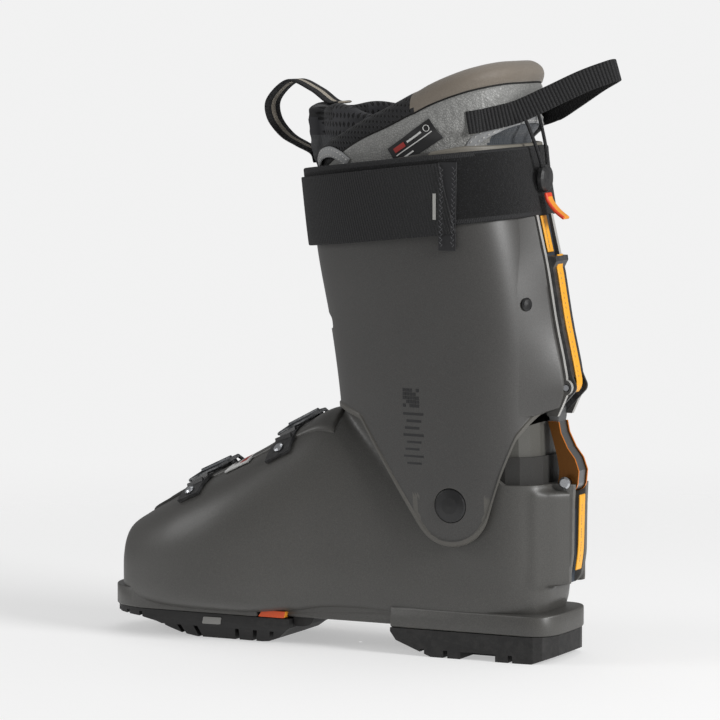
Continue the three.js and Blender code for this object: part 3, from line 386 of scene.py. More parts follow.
def beads(name: str, places: Iterable[tuple[Vector, Vector]], length: float, radius: float) -> Piece:
    """Short stitches: small six-sided beads, each at a place and pointing along a direction.

    Args:
        name: name of the piece.
        places: place and direction of each bead.
        length: length of a bead.
        radius: radius of a bead.

    Returns:
        The piece.
    """
    points, faces = [], []
    for place, way in places:
        way = way.normalized()
        up = way.orthogonal().normalized()
        side = way.cross(up)
        base = len(points)
        for step, share in ((-0.5, 0.35), (-0.3, 1.0), (0.3, 1.0), (0.5, 0.35)):
            for k in range(6):
                t = k * math.pi / 3
                spoke = (up * math.cos(t) + side * math.sin(t)) * radius * share
                points.append(place + way * step * length + spoke)
        faces.extend([[base + v for v in f] for f in ring_faces(4, 6)])
    return mesh_object(name, np.array(points), faces)


def placed(piece: Piece, body: Body, slot: str, *nodes: str) -> Piece:
    """Rides a piece on its body and hides the CAD nodes that it stands for.

    Args:
        piece: the piece.
        body: the body that it rides on.
        slot: not used.
        nodes: the solids that it stands for.

    Returns:
        The piece.
    """
    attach(piece, body.value)
    if nodes:
        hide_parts(*nodes)
    LOG.info("%s: %d faces on %s", piece.name, len(piece.data.polygons), body.value)
    return piece


# ------------------------------------------------------------------ tables of the boot's skins
@dataclass(frozen=True)
class Table:
    """Rows of sizes with smooth values in between, keyed by their first column."""

    columns: tuple[str, ...]
    rows: tuple[tuple[float, ...], ...]

    def at(self, column: str, where: Array) -> Array:
        """Smooth value of a column.

        Args:
            column: name of the column.
            where: key values; outside the table the end rows hold.

        Returns:
            The values, one for each key.
        """
        grid = np.array(self.rows, float)
        keys, values = grid[:, 0], grid[:, self.columns.index(column)]
        last = len(keys) - 1
        at = np.clip(np.asarray(where, float), keys[0], keys[-1])
        i = np.clip(np.searchsorted(keys, at, side="left") - 1, 0, last - 1)
        span = keys[i + 1] - keys[i]
        t = (at - keys[i]) / span
        slopes = np.diff(values) / np.diff(keys)
        inner = (values[2:] - values[:-2]) / (keys[2:] - keys[:-2])
        knot = np.concatenate([[slopes[0]], inner, [slopes[-1]]])
        return ((2 * t ** 3 - 3 * t ** 2 + 1) * values[i] + (t ** 3 - 2 * t ** 2 + t) * span * knot[i]
                + (3 * t ** 2 - 2 * t ** 3) * values[i + 1] + (t ** 3 - t ** 2) * span * knot[i + 1])


def signed_power(value: Array, power: float) -> Array:
    """A power that keeps the sign."""
    return np.sign(value) * np.abs(value) ** power


LEVEL = ("z", "front", "rear", "half")
NECK = Table(LEVEL, ((36, 70, -43, 34), (60, 84, -43.5, 36.5), (95, 96, -43, 37), (125, 102, -43, 37),
                     (158, 103, -42, 37)))
CUFF = Table(LEVEL, ((62, 96, -40, 43.5), (97, 102, -41, 44.5), (151, 105, -39, 46), (200.5, 111.5, -38, 49),
                     (250, 120.5, -32, 54), (299.5, 125.5, -23, 58.5), (324, 127.5, -20, 60)))
LINER = Table(LEVEL, ((151, 99.4, -29.5, 40.4), (200.5, 105.9, -28.5, 43.4), (250, 114.9, -26.4, 48.4),
                      (299.5, 119.9, -17.4, 52.9), (312, 124.5, -14, 53.5), (323, 126, -14.5, 53.7),
                      (330, 127, -19.5, 55), (360, 127, -21, 54), (376, 124, -17, 51)))
FOOT = Table(("x", "low", "top", "inner", "outer"), (
    (-43, 40, 80, 16, 16), (-39, 28, 92, 24, 24), (-30, 22, 100, 30.5, 30.5), (-12, 20, 105, 34.5, 34.5),
    (12, 19, 112, 36, 36), (47, 20, 128, 36.5, 37), (80, 22, 143, 38, 40), (107, 22, 149, 41, 44),
    (127.72, 20, 138.5, 46, 48), (155.84, 18, 122, 51.5, 51), (178.04, 18, 110.5, 52.5, 50),
    (204.68, 18, 97.5, 49, 45), (223.92, 18, 87, 43, 38), (240.2, 19, 77.5, 35, 29),
    (250.56, 20, 71.5, 28, 21), (255, 22, 68, 23, 16)))
FRONT_POWER, REAR_POWER = 2.15, 2.6
SIDE_POWER, FLOOR_POWER, WAIST = 2.5, 4.5, 0.4


def level_point(table: Table, z: Array, degrees: Array, offset: Array = 0.0) -> Array:
    """Points on an upright skin.

    Args:
        table: the skin's table of levels.
        z: heights.
        degrees: angle round the leg, 0 at the front and 90 on the inner side.
        offset: how far outside the skin.

    Returns:
        The points, with X, Y and Z in the last axis.
    """
    z, degrees, offset = np.broadcast_arrays(np.asarray(z, float), degrees, offset)
    front = table.at("front", z) + offset
    rear = table.at("rear", z) - offset
    half = table.at("half", z) + offset
    middle = rear + half
    turn = np.radians(degrees)
    ahead = np.cos(turn) >= 0
    x = np.where(ahead, middle + signed_power(np.cos(turn), 2 / FRONT_POWER) * (front - middle),
                 middle + signed_power(np.cos(turn), 2 / REAR_POWER) * half)
    y = half * np.where(ahead, signed_power(np.sin(turn), 2 / FRONT_POWER),
                        signed_power(np.sin(turn), 2 / REAR_POWER))
    return np.stack([x, y, z], axis=-1)


def side_point(table: Table, x: Array, z: Array, side: int, offset: float = 0.0) -> Array:
    """Points on an upright skin from X and Z, on the inner (1) or outer (-1) side.

    Args:
        table: the skin's table.
        x: X of the points.
        z: Z of the points.
        side: 1 for the inner side, -1 for the outer one.
        offset: how far outside the skin.

    Returns:
        The points.
    """
    x, z = np.broadcast_arrays(np.asarray(x, float), np.asarray(z, float))
    front, rear, half = (table.at(name, z) for name in LEVEL[1:])
    middle = rear + half
    span = np.where(x >= middle, front - middle, half)
    power = np.where(x >= middle, FRONT_POWER, REAR_POWER)
    cosine = np.sign(x - middle) * np.clip(np.abs(x - middle) / span, 0, 1) ** (power / 2)
    return level_point(table, z, side * np.degrees(np.arccos(cosine)), offset)


def foot_point(x: Array, degrees: Array, inset: float = 0.0) -> Array:
    """Points on the foot skin; the angle is 0 on the inner side and 90 on the crest.

    Args:
        x: X of the points.
        degrees: angle round the foot.
        inset: how far inside the skin.

    Returns:
        The points.
    """
    x, degrees = np.broadcast_arrays(np.asarray(x, float), degrees)
    low = FOOT.at("low", x) + inset
    top = FOOT.at("top", x) - inset
    inner = FOOT.at("inner", x) - inset
    outer = FOOT.at("outer", x) - inset
    waist = low + WAIST * (top - low)
    turn = np.radians(degrees)
    up = np.sin(turn) >= 0
    e = np.where(up, 2 / SIDE_POWER, 2 / FLOOR_POWER)
    y = signed_power(np.cos(turn), e) * np.where(np.cos(turn) >= 0, inner, outer)
    z = waist + signed_power(np.sin(turn), e) * np.where(up, top - waist, waist - low)
    return np.stack([x, y, z], axis=-1)


def crest_angle(x: Array, y: Array) -> Array:
    """The angle at which the foot skin's upper half lies a distance to the side.

    Args:
        x: X of the points.
        y: Y of the points.

    Returns:
        The angles in degrees.
    """
    half = np.where(np.asarray(y) >= 0, FOOT.at("inner", x), FOOT.at("outer", x))
    cosine = signed_power(np.clip(np.asarray(y, float) / half, -1, 1), SIDE_POWER / 2)
    return np.degrees(np.arccos(cosine))


def broken_line(points: Sequence[Point]) -> Callable[[Array], Array]:
    """Height over X along a line of points that runs from the rear to the front.

    Args:
        points: X and height of each corner.

    Returns:
        A function from X to height.
    """
    xs = [p[0] for p in points]
    zs = [p[1] for p in points]
    return lambda x: np.interp(x, xs, zs)


def meet(table: Table, degrees: Array, edge: Callable[[Array], Array], low: float, high: float,
         offset: float = 0.0) -> Array:
    """Heights at which a skin meets an edge that is given as height over X.

    Args:
        table: the skin's table.
        degrees: the angles.
        edge: the edge's height over X.
        low: a height below the edge.
        high: a height above the edge.
        offset: how far outside the skin the edge is drawn.

    Returns:
        One height for each angle.
    """
    a = np.full(len(degrees), float(low))
    b = np.full(len(degrees), float(high))
    for _ in range(40):
        mid = (a + b) / 2
        below = mid < edge(level_point(table, mid, degrees, offset)[:, 0])
        a = np.where(below, mid, a)
        b = np.where(below, b, mid)
    return (a + b) / 2


def section(low: Array, high: Array, rows: int, reach: float, turns: int = 5,
            fixed: Pair = (0.0, 0.0), step: float = 0.5) -> tuple[Array, Array]:
    """The closed outline of a wall, up its outer face and down its inner one, with round rims.

    Args:
        low: lowest height of each column.
        high: highest height of each column.
        rows: faces up each side.
        reach: how far the round of a rim reaches up or down.
        turns: faces round half a rim.
        fixed: heights above the lower rim and below the upper one where rows keep an even step.
        step: that step.

    Returns:
        Heights (columns by points), and the share from the inner face (0) to the outer one (1) of
        each point.
    """
    low, high = np.asarray(low, float)[:, None], np.asarray(high, float)[:, None]
    under = np.arange(round(fixed[0] / step))[None, :] * step
    over = np.arange(round(fixed[1] / step))[None, ::-1] * step
    start, end = low + reach + under.size * step, high - reach - over.size * step
    up = np.linspace(0, 1, rows + 1)[None, :]
    side = np.hstack([low + reach + under, start + (end - start) * up, high - reach - over])
    rows = side.shape[1] - 1
    turn = np.linspace(0, math.pi, 2 * turns + 1)[1:-1][None, :]
    top = high - reach + reach * np.sin(turn)
    foot = low + reach - reach * np.sin(turn)
    z = np.hstack([side, top, side[:, ::-1], foot])
    swing = np.cos(turn[0])
    shares = np.concatenate([np.ones(rows + 1), (1 + swing) / 2, np.zeros(rows + 1), (1 - swing) / 2])
    return z, shares


def wall(name: str, table: Table, degrees: Array, low: Array, high: Array, inner: float,
         outer: Callable[[Array, Array], Array], rows: int = 60, reach: float = 1.5,
         closed: bool = True, turns: int = 5, fixed: Pair = (0.0, 0.0),
         step: float = 0.5) -> Piece:
    """A wall that follows an upright skin, with round rims and its lay stored.

    Args:
        name: name of the piece.
        table: the skin's table.
        degrees: angles of the columns.
        low: lowest height of each column.
        high: highest height of each column.
        inner: offset of the inner face from the skin.
        outer: offset of the outer face, from angles and heights.
        rows: faces up each side.
        reach: how far a rim's round reaches.
        closed: the wall runs all the way round.
        turns: faces round half a rim.
        fixed: heights above the lower rim and below the upper one where rows keep an even step.
        step: that step.

    Returns:
        The wall as a closed mesh.
    """
    z, shares = section(low, high, rows, reach, turns, fixed, step)
    angle = np.repeat(np.asarray(degrees, float)[:, None], z.shape[1], axis=1)
    face = outer(angle, z)
    offset = inner + (face - inner) * shares[None, :]
    if not closed:
        fade = np.ones(len(degrees))
        for k, share in enumerate((0.45, 0.8, 0.96)):
            fade[k] = fade[-1 - k] = share
        middle = (inner + face) / 2
        offset = middle + (offset - middle) * fade[:, None]
    points = level_point(table, z, angle, offset)
    mid = points[:, rows // 2]
    run = run_length(mid)
    made = mesh_object(name, points.reshape(-1, 3), ring_faces(len(degrees), z.shape[1], closed_rows=closed))
    lay_attribute(made, np.stack([np.repeat(run, z.shape[1]), z.ravel()], axis=1))
    return made


def ribbon(name: str, path: Sequence[Point], across: Callable[[Array], Array], width: float, thick: float,
           count: int = 90, lanes: int = 8) -> Piece:
    """A flat webbing along a smooth curve, with round edges and its lay stored.

    Args:
        name: name of the piece.
        path: points along the middle.
        across: direction of the width at each point of the curve.
        width: width of the webbing.
        thick: its thickness.
        count: sections along it.
        lanes: faces across it.

    Returns:
        The webbing as a closed mesh.
    """
    line = spline(path, count)
    ahead = np.gradient(line, axis=0)
    ahead /= np.linalg.norm(ahead, axis=1)[:, None]
    side = across(line)
    side = side - ahead * np.sum(side * ahead, axis=1)[:, None]
    side /= np.linalg.norm(side, axis=1)[:, None]
    up = np.cross(ahead, side)
    run = run_length(line)
    half, h = width / 2 - thick / 2, thick / 2
    spread = np.linspace(-half, half, lanes + 1)
    loop = [(s, h) for s in spread]
    loop += [(half + h * math.sin(a), h * math.cos(a)) for a in (math.pi / 4, math.pi / 2, 3 * math.pi / 4)]
    loop += [(s, -h) for s in spread[::-1]]
    loop += [(-half - h * math.sin(a), h * math.cos(a)) for a in (3 * math.pi / 4, math.pi / 2, math.pi / 4)]
    points, lay = [], []
    for i in range(count):
        squeeze = 0.55 if i in (0, count - 1) else 1.0
        for s, t in loop:
            points.append(line[i] + side[i] * s + up[i] * t * squeeze)
            lay.append((run[i], s))
    made = mesh_object(name, np.array(points), ring_faces(count, len(loop)))
    lay_attribute(made, np.array(lay))
    return made


def zones(thing: Piece, materials: Sequence[Material],
          pick: Callable[[float, float, float], int]) -> Piece:
    """Gives each face a material by where its centre lies, in millimetres.

    Args:
        thing: the piece to change.
        materials: the materials to pick from.
        pick: the number of the material for a place.

    Returns:
        The piece.
    """
    thing.data.materials.clear()
    for material in materials:
        thing.data.materials.append(material)
    for polygon in thing.data.polygons:
        centre = polygon.center / MM
        polygon.material_index = pick(centre.x, centre.y, centre.z)
    return thing


# ------------------------------------------------------------------ finishes
def tone(code: str) -> Colour:
    """A colour from its six-digit web code, as linear light.

    Args:
        code: the web code.

    Returns:
        Red, green and blue.
    """
    parts = [int(code[i:i + 2], 16) / 255 for i in (0, 2, 4)]
    red, green, blue = [p / 12.92 if p <= 0.04045 else ((p + 0.055) / 1.055) ** 2.4 for p in parts]
    return red, green, blue


class Nodes:
    """Adds and joins the nodes of one tree."""

    def __init__(self, tree: Tree) -> None:
        """Starts with a tree's own nodes."""
        self.tree = tree

    def add(self, kind: str, inputs: Optional[dict] = None, **settings: object) -> bpy.types.Node:
        """Adds a node.

        Args:
            kind: the node's type.
            inputs: for each socket's name or number, a value or the socket that feeds it.
            settings: the node's own settings.

        Returns:
            The node.
        """
        made = self.tree.nodes.new(kind)
        for name, value in settings.items():
            setattr(made, name, value)
        for key, value in (inputs or {}).items():
            self.feed(made.inputs[key], value)
        return made

    def feed(self, socket: Socket, value: object) -> None:
        """Links a socket, or sets its own value.

        Args:
            socket: the socket to set.
            value: a value, or a socket to link.
        """
        if isinstance(value, Socket):
            self.tree.links.new(value, socket)
        elif isinstance(value, tuple) and len(value) == 3 and socket.type == "RGBA":
            socket.default_value = (*value, 1.0)
        else:
            socket.default_value = value

    def math(self, operation: str, a: object, b: object = 0.0, clamp: bool = False) -> Socket:
        """The result of one sum on numbers."""
        return self.add("ShaderNodeMath", {0: a, 1: b}, operation=operation, use_clamp=clamp).outputs[0]

    def times(self, a: object, b: object) -> Socket:
        """The product of two numbers."""
        return self.math("MULTIPLY", a, b)

    def plus(self, a: object, b: object) -> Socket:
        """The sum of two numbers."""
        return self.math("ADD", a, b)

    def ramp(self, value: object, low: float, high: float) -> Socket:
        """A smooth step from 0 at a low value to 1 at a high one."""
        sockets = {0: value, 1: low, 2: high, 3: 0.0, 4: 1.0}
        return self.add("ShaderNodeMapRange", sockets, interpolation_type="SMOOTHSTEP").outputs[0]

    def mix(self, share: object, first: object, second: object) -> Socket:
        """A blend of two colours."""
        made = self.add("ShaderNodeMix", {0: share, 6: first, 7: second}, data_type="RGBA")
        return made.outputs[2]

    def noise(self, vector: object, scale: object, detail: float = 3.0, rough: float = 0.55) -> Socket:
        """Plain noise from 0 to 1."""
        sockets = {"Vector": vector, "Scale": scale, "Detail": detail, "Roughness": rough}
        return self.add("ShaderNodeTexNoise", sockets).outputs[0]


GROUPS: dict[str, Tree] = {}


def shared_group(name: str, inputs: Sequence[tuple[str, str, object]],
                 build: Callable[[Nodes, dict], dict]) -> Tree:
    """Makes a shader node group once.

    Args:
        name: the group's name.
        inputs: for each input its name, its kind of socket and its value.
        build: makes the nodes from the inputs and returns the sockets to put out.

    Returns:
        The group.
    """
    if name in GROUPS:
        return GROUPS[name]
    tree = bpy.data.node_groups.new(name, "ShaderNodeTree")
    for label, kind, value in inputs:
        tree.interface.new_socket(label, in_out="INPUT", socket_type=kind).default_value = value
    nodes = Nodes(tree)
    source = nodes.add("NodeGroupInput")
    results = build(nodes, {label: source.outputs[label] for label, _, _ in inputs})
    for label in results:
        tree.interface.new_socket(label, in_out="OUTPUT", socket_type="NodeSocketFloat")
    sink = nodes.add("NodeGroupOutput")
    for label, socket in results.items():
        tree.links.new(socket, sink.inputs[label])
    GROUPS[name] = tree
    return tree


def grain_nodes(n: Nodes, i: dict) -> dict:
    """Fine moulded grain over broad, faint blotches.

    Args:
        n: the group's nodes.
        i: the group's inputs by name.

    Returns:
        The sockets to put out.
    """
    fine = n.noise(i["Place"], n.math("DIVIDE", 1000.0, i["Size"]), 3.0, 0.6)
    broad = n.noise(i["Place"], n.math("DIVIDE", 1000.0, i["Blotch"]), 2.0, 0.5)
    speck = n.ramp(n.noise(i["Place"], n.math("DIVIDE", 1600.0, i["Size"]), 2.0, 0.7), 0.35, 0.7)
    return {"Height": fine, "Mask": n.plus(n.times(speck, 0.7), n.times(broad, 0.3))}


def weave_nodes(n: Nodes, i: dict) -> dict:
    """A plain weave over the lay of a cloth.

    Args:
        n: the group's nodes.
        i: the group's inputs by name.

    Returns:
        The sockets to put out.
    """
    parts = n.add("ShaderNodeSeparateXYZ", {0: i["Place"]})
    u = n.times(n.math("DIVIDE", parts.outputs[0], i["Along"]), math.pi * 1000)
    v = n.times(n.math("DIVIDE", parts.outputs[1], i["Across"]), math.pi * 1000)
    warp = n.math("ABSOLUTE", n.math("SINE", u))
    weft = n.math("ABSOLUTE", n.math("SINE", v))
    flip = n.math("GREATER_THAN", n.times(n.math("SINE", n.times(u, 0.5)),
                                         n.math("SINE", n.times(v, 0.5))), 0.0)
    over = n.plus(n.times(warp, flip), n.times(weft, n.math("SUBTRACT", 1.0, flip)))
    stray = n.noise(i["Place"], 900.0, 3.0)
    return {"Height": n.plus(over, n.times(stray, 0.35)), "Mask": n.times(over, stray)}


def rib_nodes(n: Nodes, i: dict) -> dict:
    """Ribs across the lay, with small stray fibres.

    Args:
        n: the group's nodes.
        i: the group's inputs by name.

    Returns:
        The sockets to put out.
    """
    parts = n.add("ShaderNodeSeparateXYZ", {0: i["Place"]})
    u = n.times(n.math("DIVIDE", parts.outputs[0], i["Along"]), math.pi * 1000)
    v = n.times(n.math("DIVIDE", parts.outputs[1], i["Across"]), math.pi * 1000)
    rib = n.math("ABSOLUTE", n.math("SINE", u))
    stray = n.noise(i["Place"], 1400.0, 3.0)
    cross = n.times(n.math("ABSOLUTE", n.math("SINE", v)), 0.25)
    return {"Height": n.plus(rib, n.plus(cross, n.times(stray, 0.3))),
            "Mask": n.times(rib, n.ramp(stray, 0.3, 0.75))}


def crease_nodes(n: Nodes, i: dict) -> dict:
    """The irregular cells and creases of leather.

    Args:
        n: the group's nodes.
        i: the group's inputs by name.

    Returns:
        The sockets to put out.
    """
    scale = n.math("DIVIDE", 1000.0, i["Size"])
    push = n.noise(i["Place"], n.times(scale, 0.6), 2.0)
    offset = {0: i["Place"], 1: n.times(push, 0.003)}
    moved = n.add("ShaderNodeVectorMath", offset, operation="ADD").outputs[0]
    pebble = {"Vector": moved, "Scale": scale}
    cell = n.add("ShaderNodeTexVoronoi", pebble, feature="DISTANCE_TO_EDGE").outputs[0]
    plump = n.ramp(cell, 0.0, 0.22)
    fold = n.noise(moved, n.times(scale, 0.28), 4.0, 0.65)
    return {"Height": n.plus(n.times(plump, 0.55), fold), "Mask": n.times(plump, fold)}


def cell_nodes(n: Nodes, i: dict) -> dict:
    """Staggered open cells of a spacer mesh.

    Args:
        n: the group's nodes.
        i: the group's inputs by name.

    Returns:
        The sockets to put out.
    """
    parts = n.add("ShaderNodeSeparateXYZ", {0: i["Place"]})
    u = n.times(n.math("DIVIDE", parts.outputs[0], i["Along"]), math.tau * 500)
    v = n.times(n.math("DIVIDE", parts.outputs[1], i["Across"]), math.tau * 500)
    waves = n.times(n.math("COSINE", n.plus(u, v)), n.math("COSINE", n.math("SUBTRACT", u, v)))
    hole = n.ramp(waves, 0.15, 0.6)
    return {"Height": n.math("SUBTRACT", 1.0, hole), "Mask": n.math("SUBTRACT", 1.0, hole)}


def pile_nodes(n: Nodes, i: dict) -> dict:
    """Short matted fibres with pale flecks.

    Args:
        n: the group's nodes.
        i: the group's inputs by name.

    Returns:
        The sockets to put out.
    """
    fibre = n.noise(i["Place"], n.math("DIVIDE", 1000.0, i["Size"]), 6.0, 0.75)
    clump = n.noise(i["Place"], n.math("DIVIDE", 250.0, i["Size"]), 3.0, 0.6)
    return {"Height": n.plus(fibre, n.times(clump, 0.8)), "Mask": n.ramp(fibre, 0.5, 0.72)}


def wear_nodes(n: Nodes, i: dict) -> dict:
    """Rubbed high edges, broken up by noise.

    Args:
        n: the group's nodes.
        i: the group's inputs by name.

    Returns:
        The sockets to put out.
    """
    edge = n.ramp(n.add("ShaderNodeNewGeometry").outputs["Pointiness"], 0.51, 0.58)
    chips = n.ramp(n.noise(i["Place"], 220.0, 4.0, 0.7), 0.35, 0.7)
    return {"Mask": n.math("MULTIPLY", n.times(edge, chips), i["Amount"], clamp=True)}


PLACE_INPUT = ("Place", "NodeSocketVector", (0.0, 0.0, 0.0))


class Surface(Enum):
    """The kinds of surface, each with its shared node group."""

    GRAIN = ("grain", grain_nodes, False)
    WEAVE = ("weave", weave_nodes, True)
    RIB = ("ribs", rib_nodes, True)
    LEATHER = ("leather_creases", crease_nodes, False)
    CELLS = ("mesh_cells", cell_nodes, True)
    PILE = ("pile", pile_nodes, False)

    def group(self) -> Tree:
        """The surface's node group.

        Returns:
            The group.
        """
        label, build, laid = self.value
        sizes = [("Along", "NodeSocketFloat", 1.0), ("Across", "NodeSocketFloat", 1.0)] if laid else [
            ("Size", "NodeSocketFloat", 1.0), ("Blotch", "NodeSocketFloat", 30.0)]
        return shared_group(label, [PLACE_INPUT, *sizes], build)


@dataclass(frozen=True)
class Finish:
    """One finish of the boot.

    Sizes are in millimetres. The second colour shows where the surface's mask is low, and the worn
    colour on rubbed edges.
    """

    name: str
    colour: str
    second: str
    rough: float
    surface: Surface = Surface.GRAIN
    size: float = 0.8
    other: float = 28.0
    depth: float = 0.05
    metallic: float = 0.0
    coat: float = 0.0
    sheen: float = 0.0
    wear: float = 0.0
    worn: str = "B8B4AC"

    def material(self) -> Material:
        """The finish as a material, made once.

        Returns:
            The material.
        """
        found = bpy.data.materials.get(self.name)
        if found:
            return found
        made = bpy.data.materials.new(self.name)
        made.use_nodes = True
        made.node_tree.nodes.clear()
        n = Nodes(made.node_tree)
        _, _, laid = self.surface.value
        if laid:
            place = n.add("ShaderNodeAttribute", attribute_name="lay").outputs["Vector"]
            sizes = {"Along": self.size, "Across": self.other}
        else:
            place = n.add("ShaderNodeTexCoord").outputs["Object"]
            sizes = {"Size": self.size, "Blotch": self.other}
        look = n.add("ShaderNodeGroup", node_tree=self.surface.group())
        for key, value in {"Place": place, **sizes}.items():
            n.feed(look.inputs[key], value)
        colour = n.mix(look.outputs["Mask"], tone(self.second), tone(self.colour))
        rough = n.add("ShaderNodeMapRange", {
            0: look.outputs["Mask"], 3: min(self.rough * 1.12, 1.0), 4: self.rough * 0.92})
        shader = n.add("ShaderNodeBsdfPrincipled", {
            "Roughness": rough.outputs[0], "Metallic": self.metallic, "Coat Weight": self.coat,
            "Sheen Weight": self.sheen, "Coat Roughness": 0.25})
        if self.wear:
            worn = n.add("ShaderNodeGroup", node_tree=shared_group(
                "edge_wear", [PLACE_INPUT, ("Amount", "NodeSocketFloat", 0.5)], wear_nodes))
            n.feed(worn.inputs["Place"], n.add("ShaderNodeTexCoord").outputs["Object"])
            n.feed(worn.inputs["Amount"], self.wear)
            colour = n.mix(worn.outputs["Mask"], colour, tone(self.worn))
        n.feed(shader.inputs["Base Color"], colour)
        bump = n.add("ShaderNodeBump", {
            "Height": look.outputs["Height"], "Distance": self.depth * MM, "Strength": 1.0})
        n.feed(shader.inputs["Normal"], bump.outputs[0])
        sink = n.add("ShaderNodeOutputMaterial")
        n.feed(sink.inputs["Surface"], shader.outputs[0])
        return made


SHELL_PLASTIC = Finish("shell_plastic", "51504D", "403F3D", 0.42, size=0.9, other=42, depth=0.035,
                       coat=0.06, wear=0.25, worn="6B6862")
CUFF_PLASTIC = Finish("cuff_plastic", "4D4C4A", "3C3B3A", 0.4, size=0.9, other=42, depth=0.035, coat=0.1,
                      wear=0.25, worn="6B6862")
# painted highlight: lighter plastic for the cuff's lower rim, standing in for light on the raised lip
CUFF_RIM_PAINTED_HIGHLIGHT = Finish("cuff_rim_painted_highlight", "5E5C57", "53514D", 0.4, size=0.9, depth=0.03)
BRACKET_GREY = Finish("bracket_plastic", "5F5E5B", "545351", 0.45, size=1.0, depth=0.04, wear=0.3)
LIP_GREY = Finish("lip_plastic", "7A766D", "6F6B63", 0.5, size=1.2, depth=0.05)
SPINE_GREY = Finish("spine_plastic", "A9A8A5", "9E9D9A", 0.4, size=0.8, depth=0.03, wear=0.3, worn="CFCDC8")
SPINE_DARK = Finish("spine_floor", "3A4048", "343A42", 0.55, size=0.8, depth=0.04)
SPOILER_GREY = Finish("spoiler_plastic", "55544F", "4B4A46", 0.45, size=0.9, depth=0.03)
LEVER_BLACK = Finish("lever_plastic", "2A2A2B", "222223", 0.38, size=0.7, depth=0.03, coat=0.1, wear=0.3,
                     worn="6A6A6A")
BUCKLE_BLACK = Finish("buckle_plastic", "232324", "1C1C1D", 0.4, size=0.8, depth=0.05, wear=0.3,
                      worn="606060")
CAP_BLACK = Finish("cap_plastic", "111112", "1A1A1B", 0.35, size=0.8, depth=0.03, coat=0.1)
RUBBER = Finish("sole_rubber", "121111", "0D0C0C", 0.6, size=0.7, other=22, depth=0.07, wear=0.2,
                worn="454341")
INSERT_ORANGE = Finish("insert_plastic", "E2571C", "D24C15", 0.4, size=0.8, depth=0.03, coat=0.1)
YELLOW = Finish("yellow_plastic", "F5B02E", "ECA421", 0.42, size=0.7, depth=0.025, coat=0.08)
STEEL = Finish("satin_steel", "C9CBCE", "B7B9BD", 0.27, size=0.35, other=12, depth=0.012, metallic=1.0)
ARM_METAL = Finish("cast_metal", "55575A", "494B4D", 0.42, size=0.5, other=14, depth=0.03, metallic=1.0,
                   wear=0.4, worn="DADBDC")
LINK_STEEL = Finish("link_steel", "9A9B9C", "8B8C8D", 0.36, size=0.5, depth=0.02, metallic=1.0)
# bronze of the link plates, darkened as painted shade on their flat sides
BRONZE_PAINTED_SHADE = Finish("bronze_plate_painted_shade", "7C4E1A", "643C0F", 0.38, size=0.6, other=16, depth=0.02, metallic=0.6)
GASKET = Finish("gasket_rubber", "302F2D", "272624", 0.7, size=0.6, depth=0.05)
STRAP_PILE = Finish("strap_pile", "2C2C2F", "060607", 0.95, Surface.PILE, size=0.75, depth=0.6, sheen=0.1)
BINDING = Finish("strap_binding", "333335", "1A1A1B", 0.8, Surface.RIB, size=1.1, other=1.6, depth=0.25)
# bright bronze on the link plates' edges, a painted highlight
BRONZE_PAINTED_HIGHLIGHT = Finish("bronze_edge_painted_highlight", "E8861C", "D97812", 0.35, size=0.6, depth=0.02, metallic=0.4)
WEBBING = Finish("strap_webbing", "2B2B2D", "080809", 0.7, Surface.RIB, size=1.9, other=0.9, depth=0.35)
TAB_BLACK = Finish("tab_plastic", "1B1B1D", "242426", 0.4, size=0.9, depth=0.03, coat=0.1)
LOOP_WEB = Finish("loop_webbing", "2A2A2C", "0B0B0C", 0.75, Surface.RIB, size=2.2, other=1.2, depth=0.5)
TWILL = Finish("loop_twill", "29292B", "0A0A0B", 0.8, Surface.WEAVE, size=2.2, other=1.9, depth=0.6)
STRIPE = Finish("loop_stripe", "CFC7B8", "8E867A", 0.7, Surface.WEAVE, size=1.2, other=1.0, depth=0.3)
TAUPE = Finish("collar_taupe", "7D7468", "736A5F", 0.5, Surface.LEATHER, size=1.1, depth=0.12, sheen=0.25)
LEATHER = Finish("collar_leather", "ABABA8", "7C7C7A", 0.45, Surface.LEATHER, size=1.5, depth=0.28, coat=0.08)
BLUE_PAD = Finish("collar_pad", "3A3F45", "2B3035", 0.7, Surface.CELLS, size=1.6, other=1.6, depth=0.2,
                  sheen=0.3)
KNIT = Finish("collar_knit", "1E1E20", "070708", 0.9, Surface.CELLS, size=2.6, other=3.4, depth=0.7,
              sheen=0.1)
LINING = Finish("collar_lining", "222325", "131416", 0.85, Surface.WEAVE, size=0.8, other=0.8, depth=0.2,
                sheen=0.4)
HONEYCOMB = Finish("tongue_mesh", "29292D", "08080A", 0.8, Surface.CELLS, size=4.2, other=5.6, depth=1.2,
                   sheen=0.1)
TONGUE_GREY = Finish("tongue_face", "48494B", "3C3D3F", 0.55, Surface.LEATHER, size=1.4, depth=0.12)
PIPING = Finish("piping", "A3A4A5", "7F8081", 0.45, size=0.5, depth=0.05, sheen=0.2)
SEAM_DARK = Finish("seam", "1C1B1A", "131211", 0.8, size=0.5, depth=0.05)
THREAD_DARK = Finish("dark_thread", "47474A", "3A3A3C", 0.6, size=0.3, depth=0.03)
THREAD = Finish("thread", "D9D8D4", "B9B8B4", 0.6, size=0.3, depth=0.03)
LABEL_BLACK = Finish("label_black", "161617", "1E1E1F", 0.4, size=0.6, depth=0.02, coat=0.15)
LABEL_WHITE = Finish("label_white", "DADAD8", "CFCFCD", 0.5, size=0.5, depth=0.01)
LABEL_RED = Finish("label_red", "A5312B", "972A25", 0.5, size=0.5, depth=0.01)
PRINT_GREY = Finish("print_grey", "B7B6B2", "A9A8A4", 0.5, size=0.5, depth=0.01)
CORD_BLACK = Finish("cord_braid", "343436", "0F0F10", 0.7, Surface.WEAVE, size=1.5, other=1.2, depth=0.25)
TAB_ORANGE = Finish("tab_orange", "F0A02C", "E8932A", 0.45, size=0.6, depth=0.02, coat=0.1)
